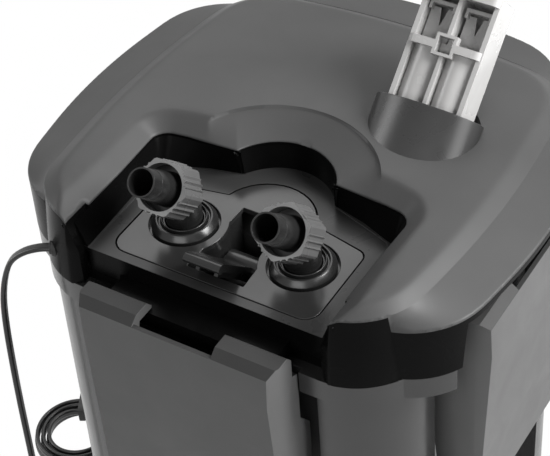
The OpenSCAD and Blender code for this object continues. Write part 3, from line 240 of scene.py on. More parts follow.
# moulded: dark and light of the colour, roughness from and to, grain's strength and size, dust
FINISH = {
    "cover": moulded("cover_black", grey(0.040), grey(0.048), (0.38, 0.45), 0.5, 0.42, 0.01, spec=0.2),
    # wall: a near-black copy of the cover finish on walls, undersides and the tray's sides, painted shade
    "wall": moulded("cover_wall_painted_shade", grey(0.002), grey(0.003), (0.22, 0.29), 0.06, 0.5, 0.0, spec=0.04),
    "shell": moulded("canister_black", grey(0.012), grey(0.016), (0.20, 0.27), 0.08, 0.5, 0.02, spec=0.6),
    "clip": moulded("clip_black", grey(0.068), grey(0.080), (0.42, 0.50), 0.5, 0.38, 0.02, spec=0.22),
    # a darker copy of the clip finish for the tops of the clips' heads, painted shade
    "clip_top": moulded("clip_top_black", grey(0.026), grey(0.032), (0.42, 0.50), 0.5, 0.38, 0.02, spec=0.15),
    "gloss": moulded("tap_plate_black", grey(0.015), grey(0.020), (0.17, 0.24), 0.03, 0.6, 0.01, spec=0.35),
    "tap": moulded("tap_black", grey(0.010), grey(0.014), (0.20, 0.28), 0.06, 0.5, 0.01, spec=0.35),
    "tray": moulded("tray_black", grey(0.022), grey(0.028), (0.26, 0.33), 0.06, 0.5, 0.01, spec=0.2),
    "hood": moulded("hood_black", grey(0.014), grey(0.019), (0.25, 0.32), 0.15, 0.45, 0.01, spec=0.45),
    "inner": moulded("inner_black", grey(0.022), grey(0.030), (0.38, 0.46), 0.2, 0.5),
    "nut": moulded("nut_grey", grey(0.075), grey(0.10), (0.24, 0.31), 0.15, 0.45, 0.02),
    # a lighter copy of the nut finish for the nuts' front rims, painted highlight
    "nut_rim_painted_highlight": moulded("nut_rim_grey", grey(0.17), grey(0.22), (0.24, 0.31), 0.15, 0.45, 0.02),
    "pale": moulded("prefilter_pale", grey(0.34, 0.01), grey(0.40, 0.01), (0.22, 0.30), 0.1, 0.5, 0.02),
    "flap": moulded("prefilter_flap", grey(0.26, 0.01), grey(0.31, 0.01), (0.26, 0.34), 0.1, 0.5, 0.02),
    "basket": moulded("basket_grey", grey(0.16), grey(0.20), (0.36, 0.44), 0.2, 0.5),
    "pump": moulded("pump_black", grey(0.018), grey(0.024), (0.3, 0.38), 0.15, 0.5),
    "rotor": moulded("rotor_cream", (0.62, 0.58, 0.48, 1), (0.68, 0.64, 0.55, 1), (0.3, 0.4), 0.1, 0.5),
    "ferrite": moulded("magnet_ferrite", grey(0.045), grey(0.07), (0.35, 0.5), 0.3, 0.3),
    "rubber": moulded("seal_rubber", grey(0.018), grey(0.028), (0.55, 0.66), 0.25, 0.3, 0.06, spec=0.35),
    "cord": moulded("cord_black", grey(0.007), grey(0.010), (0.30, 0.38), 0.1, 0.5, 0.01, spec=0.4),
    "plug": moulded("plug_black", grey(0.016), grey(0.022), (0.32, 0.42), 0.25, 0.4),
    "ceramic": moulded("ring_ceramic", (0.66, 0.60, 0.50, 1), (0.78, 0.74, 0.66, 1), (0.8, 0.92), 0.8, 0.7,
                       0.0, spec=0.2),
    "coarse": porous("foam_blue", (0.02, 0.06, 0.12, 1), (0.03, 0.09, 0.17, 1), 2.2),
    "fine": porous("foam_white", (0.62, 0.62, 0.58, 1), (0.74, 0.74, 0.70, 1), 0.9),
    "sponge": porous("foam_grey", grey(0.05), grey(0.08), 1.6),
    "steel": metal("steel", grey(0.55), grey(0.66), (0.2, 0.32)),
    "brass": metal("nickel_brass", (0.62, 0.58, 0.48, 1), (0.70, 0.67, 0.58, 1), (0.18, 0.28)),
    "copper": metal("copper_wire", (0.55, 0.22, 0.09, 1), (0.66, 0.30, 0.14, 1), (0.25, 0.4)),
}


def paint(obj, finish):
    """One finish over the whole object."""
    obj.data.materials.clear()
    obj.data.materials.append(FINISH[finish])


def paint_faces(obj, finish, chosen):
    """A second finish on the faces that the test chooses."""
    obj.data.materials.append(FINISH[finish])
    for face in obj.data.polygons:
        face.material_index = int(chosen(face))


# ------------------------------------------------------------------ shared shaping

# corners sharper than this are rounded, and facets flatter than FACET_ANGLE are joined
EDGE_ANGLE, FACET_ANGLE = 28, 0.8
MERGE = 0.01


def body_of_node(node):
    return next(b for b, ns in frame["record"]["behaviour"]["bodies"].items() if node in ns)


def select_only(obj):
    bpy.ops.object.select_all(action="DESELECT")
    obj.select_set(True)
    bpy.context.view_layer.objects.active = obj


def new_piece(name, mesh, node, finish):
    """An object of the mesh that rides on the node's body."""
    obj = bpy.data.objects.new(name, mesh)
    bpy.context.scene.collection.objects.link(obj)
    paint(obj, finish)
    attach(obj, body_of_node(node))
    return obj


def edit(obj, *steps):
    """Runs edit-mode steps on the whole of an object."""
    select_only(obj)
    bpy.ops.object.mode_set(mode="EDIT")
    bpy.ops.mesh.select_all(action="SELECT")
    for step in steps:
        step()
    bpy.ops.object.mode_set(mode="OBJECT")


def apply_modifier(obj, kind, **values):
    """Adds a modifier, sets it and applies it."""
    mod = obj.modifiers.new(kind.lower(), kind)
    for key, value in values.items():
        setattr(mod, key, value)
    select_only(obj)
    bpy.ops.object.modifier_apply(modifier=mod.name)


def round_edges(obj, width, angle=EDGE_ANGLE):
    """Small rounds on the sharp edges, of a width in millimetres."""
    select_only(obj)
    bpy.ops.object.shade_smooth_by_angle(angle=math.radians(angle))
    apply_modifier(obj, "BEVEL", width=width * MM, segments=2, limit_method="ANGLE",
                   angle_limit=math.radians(angle), harden_normals=True, miter_outer="MITER_ARC")


def joined_copy(node, finish, name=None):
    """A copy of a node's solid with its facets joined into whole faces, which stands for it."""
    obj = new_piece(name or node + "_finish", frame["nodes"][node].data.copy(), node, finish)
    edit(obj, lambda: bpy.ops.mesh.customdata_custom_splitnormals_clear(),
         lambda: bpy.ops.mesh.remove_doubles(threshold=MERGE * MM),
         lambda: bpy.ops.mesh.dissolve_limited(angle_limit=math.radians(FACET_ANGLE)))
    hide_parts(node)
    return obj


def rounded(node, finish, width):
    obj = joined_copy(node, finish)
    round_edges(obj, width)
    return obj


# ------------------------------------------------------------------ mains cord

CORD_W, CORD_T, SECTION_POINTS = 5.2, 3.2, 20
# from the grommet down beside the canister, and along the floor to the coil
CORD_ROUTE = [
    (-81, -95.6, 351), (-85, -97.4, 351), (-92, -100.6, 350.5), (-100, -103.8, 347), (-107, -106.2, 340),
    (-112, -107.6, 328), (-115.5, -108.6, 312), (-117.5, -109, 292), (-118.5, -109.5, 265), (-119, -110, 235),
    (-119, -110.5, 205), (-119, -111, 175), (-119, -112, 145), (-119.5, -113, 115), (-120.5, -115, 88),
    (-122.5, -118, 62), (-126.5, -122.5, 38), (-134, -127.5, 18), (-145, -130, 6), (-158, -128, 2.4),
    (-171, -119, 2.2), (-181, -105, 2.4), (-187.5, -88, 2.8), (-190.5, -70, 3.2), (-191.2, -50, 3.6),
    (-191, -30, 3.9), (-190.8, -10, 3.9), (-190.8, 10, 3.9), (-190.8, 28, 3.9), (-190.8, 34, 3.9)]
ROUTE_STEPS = 4
# the cord's wide side turns upright between these points of the route
FLOOR_FROM, FLOOR_TILL = 19, 25
DROP_SIDE, UPRIGHT = Vector((0.34, -0.94, 0)), Vector((0, 0, 1))
# the coil winds inwards up to TURN_BACK turns, then outwards in a second layer
COIL_AT, COIL_OUT = Vector((-222, 34, 0)), 31.2
TURN_PITCH, LAYER_PITCH = CORD_T + 0.8, CORD_W + 0.7
COIL_TURNS, TURN_BACK, TURN_STEPS = 6, 3.25, 48
# the tail leaves the coil in its last 0.3 turn, for the plug on top
TAIL_OUT, TAIL_TURN, PLUG_Z = 7.4, 0.3, 8.2


def ease(t):
    u = min(max(t, 0.0), 1.0)
    return u * u * (3 - 2 * u)


def spline(points, i, t):
    """A smooth curve through the points: the place at part t of stretch i."""
    last = len(points) - 1
    a, b, c, d = (points[min(max(i + k, 0), last)] for k in (-1, 0, 1, 2))
    slope, bend, twist = c - a, 2 * a - 5 * b + 4 * c - d, 3 * b - a - 3 * c + d
    return b + slope * (t / 2) + bend * (t * t / 2) + twist * (t ** 3 / 2)


def coil_point(u):
    """The coil's centreline after u turns."""
    tail = ease((u - COIL_TURNS + TAIL_TURN) / TAIL_TURN)
    r = COIL_OUT - TURN_PITCH * (TURN_BACK - abs(u - TURN_BACK)) + TAIL_OUT * tail
    z = CORD_ROUTE[-1][2] + LAYER_PITCH * ease((u - TURN_BACK + 0.25) / 0.5)
    a = 2 * math.pi * u
    return COIL_AT + Vector((r * math.cos(a), r * math.sin(a), z + (PLUG_Z - z) * tail))


def cord_line():
    """Centreline of the whole cord with the direction of its wide side, in millimetres."""
    route = [Vector(p) for p in CORD_ROUTE]
    line = []
    for i in range(len(route) - 1):
        for k in range(ROUTE_STEPS):
            t = k / ROUTE_STEPS
            turn = ease((i + t - FLOOR_FROM) / (FLOOR_TILL - FLOOR_FROM))
            line.append((spline(route, i, t), DROP_SIDE.lerp(UPRIGHT, turn)))
    line += [(coil_point(k / TURN_STEPS), UPRIGHT) for k in range(COIL_TURNS * TURN_STEPS + 1)]
    line.append((line[-1][0] + Vector((0, CORD_W, 0)), UPRIGHT))
    return line


def twin_section():
    """Outline of a flat twin flex: two round cores side by side under one sheath."""
    out = []
    for k in range(SECTION_POINTS):
        a = 2 * math.pi * k / SECTION_POINTS
        lobe = CORD_T / 2 * (0.80 + 0.20 * abs(math.cos(a)))
        out.append((CORD_W / 2 * math.cos(a), lobe * math.sin(a) * (1.0 + 0.15 * abs(math.cos(a)))))
    return out


def sweep(name, line, section):
    """A closed tube of the section along a line of (point, wide side) pairs, in millimetres."""
    bm = bmesh.new()
    rings = []
    for i, (p, ref) in enumerate(line):
        t = (line[min(i + 1, len(line) - 1)][0] - line[max(i - 1, 0)][0]).normalized()
        side = (ref - t * ref.dot(t)).normalized()
        up = t.cross(side)
        rings.append([bm.verts.new((p + side * a + up * b) * MM) for a, b in section])
    n = len(section)
    for a, b in zip(rings, rings[1:]):
        for k in range(n):
            bm.faces.new((a[k], a[(k + 1) % n], b[(k + 1) % n], b[k]))
    bm.faces.new(rings[0][::-1])
    bm.faces.new(rings[-1])
    bmesh.ops.recalc_face_normals(bm, faces=bm.faces)
    mesh = bpy.data.meshes.new(name)
    bm.to_mesh(mesh)
    bm.free()
    return mesh


def make_cord():
    line = cord_line()
    cord = new_piece("mains_cord", sweep("mains_cord", line, twin_section()), "power_cord", "cord")
    select_only(cord)
    bpy.ops.object.shade_smooth_by_angle(angle=math.radians(50))
    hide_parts("power_cord", "cord_coil")


make_cord()

# ------------------------------------------------------------------ head cover

# height of the canister's collar, shift of the head's middle to the rear, and bow of its sides
DECK, BACK, BOW = 340, 4.0, 4.6
# half width, half depth and corner radius of the cap and of the wings below it
CAP, SIDE_WING, REAR_WING = (105.75, 107.75, 37.6), (128.7, 94.2, 40.2), (94.2, 131.2, 40.2)
FOOT_FLARE = 2.4
# heights over the collar: the cap's shoulder with its fall to the front, the wings' edge, the recess's rim
SHOULDER_Z, SHOULDER_TILT = 36.5, -0.032
WING_EDGE_Z, RIM_Z = 30.7, 35.7
# bevel along the cap's edge, then the crown's rise between two distances from that edge
BEVEL_SLOPE, BEVEL_RISE = 0.64, 4.9
CROWN_RISE, CROWN_FROM, CROWN_TILL = 2.2, 8, 75
# bevel round the tap recess, and the round apron behind it
COLLAR_SLOPE, COLLAR_RISE = 0.74, 9.0
APRON_AT, APRON_R, APRON_RISE, APRON_STEP = np.array((0.0, -37.0)), 54.0, 6.1, (-0.35, 0.45)
OUTER_ROUND, INNER_ROUND = 0.9, 0.6
COVER_THICK, LINING_THICK, TRAY_THICK = 2.4, 2.2, 1.4
COVER_SMOOTH, LINING_SMOOTH, LINING_SPAN = 42, 33, 37
# front blocks beside the tray: inner face, its lean, and the slot for the tray behind them
BLOCK_IN, BLOCK_LEAN, SLOT_REAR = 71.2, 5.2, -86.0
BLOCK_DROP, SLOT_DROP, RIM_DROP = 20, 11, 1.4
# openings over the clips: half width at their top and foot, and the skirt left over them
OPENING_TOP, OPENING_FOOT, SKIRT = 65.7, 70.7, 3.2
# ledges that the clips hook on: how far out they reach, and half their length
LEDGE_OUT, LEDGE_HALF = 112.4, 46.4
PORT_AT, PORT_LEAN, PORT_HALF, PORT_DEEP = (48, 31, DECK + 40), 48, 28.1, 18.6
TRAY_FRONT, TRAY_FLOOR_Z, TRAY_TOP_Z = -97.3, 19.6, 33.6
SPREAD = 4001


def arc(cx, cy, r, start, end, n):
    a = np.radians(np.linspace(start, end, n))
    return np.column_stack((cx + r * np.cos(a), cy + r * np.sin(a)))


def bowed_side(a, b, out):
    """Points between a and b, bowed out in the middle."""
    t = np.linspace(0, 1, 180)[1:-1, None]
    a, b, out = (np.array(v, float) for v in (a, b, out))
    return a + (b - a) * t + out * BOW * (1 - (2 * t - 1) ** 2)


@functools.lru_cache(None)
def lobe_outline(hx, hy, r):
    """A round-cornered outline with bowed sides and a straight front, softened where they join."""
    x, y = hx - BOW, hy - BOW
    pts = np.vstack((
        arc(x - r, r - hy, r, -90, 0, 100), bowed_side((x, r - hy), (x, y - r), (1, 0)),
        arc(x - r, y - r, r, 0, 90, 100), bowed_side((x - r, y), (r - x, y), (0, 1)),
        arc(r - x, y - r, r, 90, 180, 100), bowed_side((-x, y - r), (-x, r - hy), (-1, 0)),
        arc(r - x, r - hy, r, 180, 270, 100)))
    for _ in range(200):
        pts[1:-1] = pts[1:-1] / 2 + (pts[:-2] + pts[2:]) / 4
    return pts


def reach(outline, angles):
    """Distance from the middle to the outline in each direction."""
    loop = np.vstack((outline, outline[:1]))
    turn = np.unwrap(np.arctan2(loop[:, 1], loop[:, 0]))
    a = (angles - turn[0]) % (2 * np.pi) + turn[0]
    i = np.clip(np.searchsorted(turn, a, side="right") - 1, 0, len(outline) - 1)
    p, d = loop[i], loop[i + 1] - loop[i]
    return (p[:, 0] * d[:, 1] - p[:, 1] * d[:, 0]) / (np.cos(a) * d[:, 1] - np.sin(a) * d[:, 0])


def lobes(angles, flare=0.0):
    """Reach of the cap, of the side wings and of the rear wing in each direction."""
    cap, side, rear = ((hx + flare * f, hy + flare * g, r) for (hx, hy, r), f, g in
                       ((CAP, 1, 1), (SIDE_WING, 0, 0), (REAR_WING, 0, 0)))
    rows = [reach(lobe_outline(*v), angles) for v in (cap, side, rear)]
    rows[2] = np.where(np.sin(angles) > 0, rows[2], 0)
    return np.array(rows)


def meeting_angles(first, last, flare=0.0):
    """Directions in which one lobe of the plan gives way to the next."""
    a = np.linspace(first, last, SPREAD)
    top = lobes(a, flare).argmax(axis=0)
    return [(a[i] + a[i + 1]) / 2 for i in np.nonzero(np.diff(top))[0]]


def towards(angles, r):
    """Points at the distances r from the head's middle."""
    return np.column_stack((r * np.cos(angles), r * np.sin(angles) + BACK))


def gap_to(points, line):
    """Distance from each point to a line of points."""
    a, d = line[:-1], np.diff(line, axis=0)
    best = np.full(len(points), 1e9)
    for p, v in zip(a, d):
        t = np.clip(((points - p) @ v) / (v @ v), 0, 1)
        best = np.minimum(best, np.hypot(*(points - p - t[:, None] * v).T))
    return best


def recess_half(front, side, corner, shoulder, kink, bulge):
    """Right half of an outline of the tap recess, from its front to the middle of its rear."""
    cx, cy, r, till = corner
    y, radius, start = bulge
    return np.vstack(([(side[0], front), (side[1], -60)], arc(cx, cy, r, 0, till, 20), shoulder, [kink],
                      arc(0, y, radius, start, 90, 26)))


def rim_half(front):
    """The cover's edge round the recess."""
    return recess_half(front, (69.6, 69.7), (61.7, -31.5, 9, 80), [(56, -21.5), (43, -20.6)],
                       (25.8, -19.3), (-31, 30, 23))


def floor_half(front):
    """The tray's floor in the recess."""
    return recess_half(front, (64, 65.5), (61.5, -35.2, 5.5, 72), [(58, -28.2), (43, -22.4)],
                       (25.5, -18), (-32.2, 29.2, 29))


def moved_in(line, d):
    """The line moved by d to its left, where it runs."""
    part = np.diff(line, axis=0)
    part /= np.hypot(*part.T)[:, None]
    way = np.vstack((part[:1], part[1:] + part[:-1], part[-1:]))
    return line + np.column_stack((-way[:, 1], way[:, 0])) / np.hypot(*way.T)[:, None] * d


def rim_line(front):
    """Edge of the tap recess from the left front round its rear to the right front."""
    half = rim_half(front)
    return np.vstack((half * (-1, 1), half[-2::-1]))


def along(line, step):
    """The line again, with points no more than a step apart."""
    out = [line[:1]]
    for p, q in zip(line[:-1], line[1:]):
        n = max(1, int(math.ceil(np.hypot(*(q - p)) / step)))
        out.append(p + (q - p) * (np.arange(1, n + 1) / n)[:, None])
    return np.vstack(out)


def soft_least(a, b, k=1.6):
    """The lower of two heights, with a round change-over that is tighter for a larger k."""
    low = np.minimum(a, b)
    return low - np.log(np.exp(-k * (a - low)) + np.exp(-k * (b - low))) / k


def step_up(v, start, end):
    """0 up to the start and 1 from the end on, with a soft rise between."""
    t = np.clip((v - start) / (end - start), 0, 1)
    return t * t * (3 - 2 * t)


class CoverShape:
    """Plan and height of the cover's top, in millimetres."""

    def __init__(self):
        front = math.atan2(-CAP[1], BLOCK_IN)
        self.first, self.last = front, math.pi - front
        meets = meeting_angles(self.first, self.last)
        low_front = math.atan2(-CAP[1] - FOOT_FLARE, BLOCK_IN)
        low_meets = meeting_angles(low_front, math.pi - low_front, FOOT_FLARE)
        self.marks = [self.first] + meets + [self.last]
        if len(low_meets) != len(meets):
            low_meets = meets
        self.low_marks = [low_front] + low_meets + [math.pi - low_front]
        spread = np.linspace(self.first, self.last, SPREAD)
        r = lobes(spread).max(axis=0)
        walk = np.concatenate(([0], np.cumsum(np.hypot(*np.diff(towards(spread, r), axis=0).T))))
        even = np.interp(np.arange(0, walk[-1], 1.5), walk, spread)
        even = even[np.abs(even[:, None] - np.array(self.marks)).min(axis=1) > 0.006]
        self.angles = np.unique(np.round(np.concatenate((even, self.marks)), 5))
        self.outer = towards(self.angles, lobes(self.angles).max(axis=0))
        self.cap_edge = towards(spread[::3], lobes(spread[::3])[0])
        self.rim = along(rim_line(-104), 1.2)
        slot = [(69.6, SLOT_REAR + 0.8), (70.0, SLOT_REAR + 0.2), (70.6, SLOT_REAR), (BLOCK_IN, SLOT_REAR)]
        inner = self.rim[self.rim[:, 1] > SLOT_REAR + 1]
        block = along(np.array([slot[-1], (BLOCK_IN, BACK - CAP[1])]), 1.5)
        right = np.vstack((slot[:-1], block[:-1]))
        self.inner = np.vstack((right[::-1] * (-1, 1), inner, right))

    def rise(self, pts):
        """Height of the top at each point of the plan."""
        x, y = pts.T
        angle, r = np.arctan2(y - BACK, x), np.hypot(x, y - BACK)
        on_cap = r < lobes(angle)[0] + 0.05
        edge = gap_to(pts, self.cap_edge)
        outer = gap_to(pts, self.outer)
        rim = gap_to(pts, self.rim)
        shoulder = SHOULDER_Z + SHOULDER_TILT * y
        bevel = soft_least(BEVEL_SLOPE * edge, np.full(len(x), BEVEL_RISE), 2.0)
        top = shoulder + bevel + CROWN_RISE * step_up(edge, CROWN_FROM, CROWN_TILL)
        collar = RIM_Z + soft_least(COLLAR_SLOPE * rim + 0.1, np.full(len(x), COLLAR_RISE), 2.0)
        cap = soft_least(top, collar)
        in_apron = APRON_R - np.hypot(*(pts - APRON_AT).T)
        apron = RIM_Z + APRON_RISE * rim / np.maximum(rim + np.maximum(in_apron, 0), 0.01)
        cap += (np.minimum(apron, cap) - cap) * step_up(in_apron, *APRON_STEP)
        wing = WING_EDGE_Z + (shoulder - WING_EDGE_Z) * outer / np.maximum(outer + edge, 0.01)
        z = np.where(on_cap, cap, wing)
        for gap, size in ((outer, OUTER_ROUND), (gap_to(pts, self.inner), INNER_ROUND)):
            fall = 1 - np.clip(gap / size, 0, 1)
            z -= size * (1 - np.sqrt(1 - fall ** 2))
        return z

    def fill(self):
        """Points over the top, closer together near its edges, and the crease between cap and wings."""
        a = np.linspace(self.first, self.last, 600)
        caps, side, rear = lobes(a)
        most = np.maximum(np.maximum(side, rear), caps)
        winged = most > caps + 1
        crease = towards(a, caps)[winged]
        joined = [(i, i + 1) for i in range(len(crease) - 1) if np.hypot(*(crease[i + 1] - crease[i])) < 3]
        turn = np.linspace(0, 2 * np.pi, 330)
        circle = np.column_stack((np.cos(turn), np.sin(turn)))
        way = np.gradient(self.rim, axis=0)
        out = np.column_stack((-way[:, 1], way[:, 0])) / np.hypot(*way.T)[:, None]
        # each set of points comes with the least spacing that it keeps to the points before it
        sets = [(0.1, crease)]
        sets += [(0.1, towards(a, most - d)) for d in (0.12, 0.28, 0.5, 0.8, 1.15)]
        sets += [(0.2, circle * (APRON_R - d) + APRON_AT) for d in (-0.7, -0.4, 0.4, 0.7)]
        sets += [(0.1, self.rim + out * d) for d in (0.1, 0.25, 0.45, 0.7)]
        sets += [(0.5, towards(a, most - d)) for d in (1.8, 2.8)]
        sets += [(0.6, towards(a, caps + (most - caps) * t)[winged]) for t in (0.12, 0.3, 0.5, 0.7, 0.88)]
        sets += [(0.4, towards(a, caps - d)) for d in (0.6, 1.6, 3, 4.5, 5.6, 6.4, 7.2, 8, 9, 10.5)]
        sets += [(0.4, self.rim + out * d) for d in (1.5, 3, 4.5, 5.8, 6.6, 7.4, 8.2, 9.5, 11)]
        sets += [(1.2, towards(a, caps - d)[::2]) for d in (13, 16, 20, 25)]
        sets += [(1.2, circle * (APRON_R - d) + APRON_AT) for d in (-4, -2, 2, 4)]
        across = np.arange(-128, 129, 3.2)
        sets += [(2.2, np.column_stack((across, np.full(len(across), y)))) for y in np.arange(-100, 136, 3.2)]
        kept, taken = [], set()
        for size, row in sets:
            for p in row:
                cells = [(round(p[0] / v), round(p[1] / v), v) for v in (0.1, 0.2, 0.4, 0.5, 0.6, 1.2, 2.2)]
                if size > 0.1 and any(c in taken for c in cells if c[2] == size):
                    continue
                taken.update(cells)
                kept.append(p)
        kept = np.array(kept)
        r = np.hypot(kept[:, 0], kept[:, 1] - BACK)
        a = np.arctan2(kept[:, 1] - BACK, kept[:, 0])
        a = np.where(a < self.first, a + 2 * np.pi, a)
        inside = (r < lobes(a).max(axis=0) - 0.05) & (a < self.last)
        inside &= (gap_to(kept, self.inner) > 0.06) & (gap_to(kept, self.outer) > 0.06)
        inside[:len(crease)] = True
        return kept[inside], joined


def cover_walls(shape, loop, heights, top, first):
    """Points and faces of the walls that drop from the top's edge, in three bands."""
    low_angles = np.interp(shape.angles, shape.marks, shape.low_marks)
    low = towards(low_angles, lobes(low_angles, FOOT_FLARE).max(axis=0))
    n_out, count = len(shape.outer), len(loop)
    coords, faces = [], []
    for i, ((x, y), h) in enumerate(zip(loop, heights)):
        lean = 0
        if i < n_out:
            foot, drop = low[i], h - 0.1
            wing = int(lobes(shape.angles[i:i + 1])[:, 0].argmax())
            if wing:
                gap = abs(y) if wing == 1 else abs(x)
                edge = min(max((gap - OPENING_TOP) / (OPENING_FOOT - OPENING_TOP), 0), 1)
                drop = SKIRT + (drop - SKIRT) * edge
        elif y > SLOT_REAR - 0.5:
            foot, drop = loop[i], RIM_DROP if y > SLOT_REAR + 2 else SLOT_DROP
        else:
            foot, drop, lean = loop[i], h, BLOCK_LEAN
        for part in (min(0.8, drop / 3), max(drop / 3, min(h - BLOCK_DROP, drop - 1)), drop):
            share = part / h
            inward = math.copysign(lean * min(part / (h - BLOCK_DROP), 1), x)
            coords.append((x + (foot[0] - x) * share - inward, y + (foot[1] - y) * share, DECK + h - part))
    for i in range(count):
        k = (i + 1) % count
        a, b = first + 3 * i, first + 3 * k
        faces.append((a, b, top[k], top[i]))
        faces += [(a + band, b + band, b + band - 1, a + band - 1) for band in (1, 2)]
    return coords, faces


def sharpen_crease(shell, crease):
    """Marks the edges along the crease between cap and wings as sharp."""
    near = kdtree.KDTree(len(crease))
    for i, (x, y) in enumerate(crease):
        near.insert((x, y, 0), i)
    near.balance()
    for e in shell.data.edges:
        ends = [shell.data.vertices[v].co / MM for v in e.vertices]
        if all(c.z > DECK + 27 and near.find((c.x, c.y, 0))[2] < 0.05 for c in ends):
            e.use_edge_sharp = True


def make_cover():
    shape = CoverShape()
    # the loop runs round the outside from the right front, then back along the recess
    loop = np.vstack((shape.outer, shape.inner))
    count = len(loop)
    filling, crease = shape.fill()
    points = [Vector(p) for p in np.vstack((loop, filling))]
    kept_edges = [(a + count, b + count) for a, b in crease]
    verts, _, faces, origin, _, _ = geometry.delaunay_2d_cdt(points, kept_edges, [list(range(count))], 1, 1e-5)
    flat = np.array([tuple(v) for v in verts])
    z = shape.rise(flat)
    place_of = {o: i for i, rows in enumerate(origin) for o in rows}
    top = [place_of[i] for i in range(count)]
    coords = [(x, y, DECK + h) for (x, y), h in zip(flat, z)]
    faces = [tuple(f) for f in faces]
    wall_coords, wall_faces = cover_walls(shape, loop, z[top], top, len(coords))
    mesh = bpy.data.meshes.new("head_cover_shell")
    mesh.from_pydata([mm(*c) for c in coords + wall_coords], [], faces + wall_faces)
    shell = new_piece("head_cover_shell", mesh, "head_cover", "cover")
    # the walls under the top's edge take the near-black wall finish, painted shade
    paint_faces(shell, "wall", lambda face: face.index >= len(faces))
    edit(shell, lambda: bpy.ops.mesh.remove_doubles(threshold=0.02 * MM))
    apply_modifier(shell, "SOLIDIFY", thickness=COVER_THICK * MM, offset=-1)
    bpy.ops.object.shade_smooth_by_angle(angle=math.radians(COVER_SMOOTH))
    sharpen_crease(shell, filling[[a for a, _ in crease]])
    cut_port(shell)
    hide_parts("head_cover")
    make_underside()
    make_inner_wall()


def prism_of(name, plan, low, high):
    """A closed upright solid over a plan, in millimetres."""
    n = len(plan)
    coords = [mm(x, y, z) for z in (low, high) for x, y in plan]
    faces = [tuple(range(n))[::-1], tuple(range(n, 2 * n))]
    faces += [(i, (i + 1) % n, n + (i + 1) % n, n + i) for i in range(n)]
    mesh = bpy.data.meshes.new(name)
    mesh.from_pydata(coords, [], faces)
    return mesh


def cut_with(obj, operation, cutter_mesh, at=None):
    """Cuts the object with a solid, or keeps only what lies in it, and drops the solid."""
    cutter = bpy.data.objects.new("cutter", cutter_mesh)
    bpy.context.scene.collection.objects.link(cutter)
    if at:
        cutter.matrix_world = at
    apply_modifier(obj, "BOOLEAN", operation=operation, object=cutter)
    bpy.data.objects.remove(cutter)


def cut_port(shell):
    """Opens the shell where the prefilter's port leans through it."""
    turn = np.linspace(0, 2 * np.pi, 97)[:-1]
    plan = np.column_stack((PORT_HALF * np.cos(turn), PORT_DEEP * np.sin(turn)))
    at = Matrix.Translation(mm(*PORT_AT)) @ Matrix.Rotation(math.radians(-PORT_LEAN), 4, "X")
    cut_with(shell, "DIFFERENCE", prism_of("cutter", plan, -60, 60), at)


def make_underside():
    """What the solid cover has inside the shell: ledges for the clips, lining and screw posts."""
    a = np.linspace(0, 2 * np.pi, 361)[:-1]
    plan = [lobes(a)[0] - 0.9]
    for hx, hy in ((LEDGE_OUT, LEDGE_HALF), (LEDGE_HALF, LEDGE_OUT)):
        plan.append(reach(np.array([(hx, -hy - BACK), (hx, hy - BACK), (-hx, hy - BACK), (-hx, -hy - BACK)]), a))
    within = prism_of("cutter", towards(a, np.max(plan, axis=0)), DECK - 1, DECK + 26)
    # the underside takes the near-black wall finish, painted shade inside the shell
    under = joined_copy("head_cover", "wall", "head_cover_underside")
    cut_with(under, "INTERSECT", within)
    round_edges(under, 0.3)


def make_tray_wall():
    """Wall of the tap tray, leaning out from its floor to the cover's rim."""
    floor, rim = floor_half(TRAY_FRONT), moved_in(rim_half(TRAY_FRONT), -0.2)
    rows = []
    for half, z in ((floor, TRAY_FLOOR_Z), (floor * 0.6 + rim * 0.4, 26), (rim, TRAY_TOP_Z)):
        whole = np.vstack((half * (-1, 1), half[-2::-1]))
        rows.append([mm(x, y, DECK + z) for x, y in whole])
    n = len(rows[0])
    starts = [k * n + i for k in range(2) for i in range(n - 1)]
    faces = [(v, v + n, v + n + 1, v + 1) for v in starts]
    mesh = bpy.data.meshes.new("tap_tray_wall")
    mesh.from_pydata(sum(rows, []), [], faces)
    # the tray's wall takes the near-black wall finish, painted shade
    wall = new_piece("tap_tray_wall", mesh, "tap_tray", "wall")
    edit(wall, lambda: bpy.ops.mesh.flip_normals())
    apply_modifier(wall, "SOLIDIFY", thickness=TRAY_THICK * MM, offset=-1)
    round_edges(wall, 0.3, 30)
    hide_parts("tap_tray")


def make_tray_floor():
    """Floor of the tap tray, cut from its solid just over its top."""
    floor = joined_copy("tap_tray", "tray", "tap_tray_floor")
    edit(floor, lambda: bpy.ops.mesh.bisect(plane_co=mm(0, 0, DECK + 20.3), plane_no=(0, 0, 1),
                                            use_fill=True, clear_outer=True))
    round_edges(floor, 0.35)
    # faces of the floor that don't look up take the near-black wall finish, painted shade
    paint_faces(floor, "wall", lambda face: face.normal.z < 0.4)


def make_inner_wall():
    """The cap's own wall that shows under the wings, through the clips' openings."""
    for name, middle in (("right", 0), ("rear", 90), ("left", 180)):
        a = np.radians(np.linspace(middle - LINING_SPAN, middle + LINING_SPAN, 90))
        line = towards(a, lobes(a)[0] - 0.5)
        coords = [mm(x, y, DECK + h) for h in (0.6, 33.5) for x, y in line]
        n = len(line)
        mesh = bpy.data.meshes.new("cap_wall_" + name)
        mesh.from_pydata(coords, [], [(i, i + 1, n + i + 1, n + i) for i in range(n - 1)])
        # the near-black wall finish, painted shade under the wings
        wall = new_piece("cap_wall_" + name, mesh, "head_cover", "wall")
        apply_modifier(wall, "SOLIDIFY", thickness=LINING_THICK * MM, offset=-1)
        bpy.ops.object.shade_smooth_by_angle(angle=math.radians(LINING_SMOOTH))
        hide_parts("head_cover")


make_cover()
make_tray_wall()
make_tray_floor()

# ------------------------------------------------------------------ pieces finished from their solids

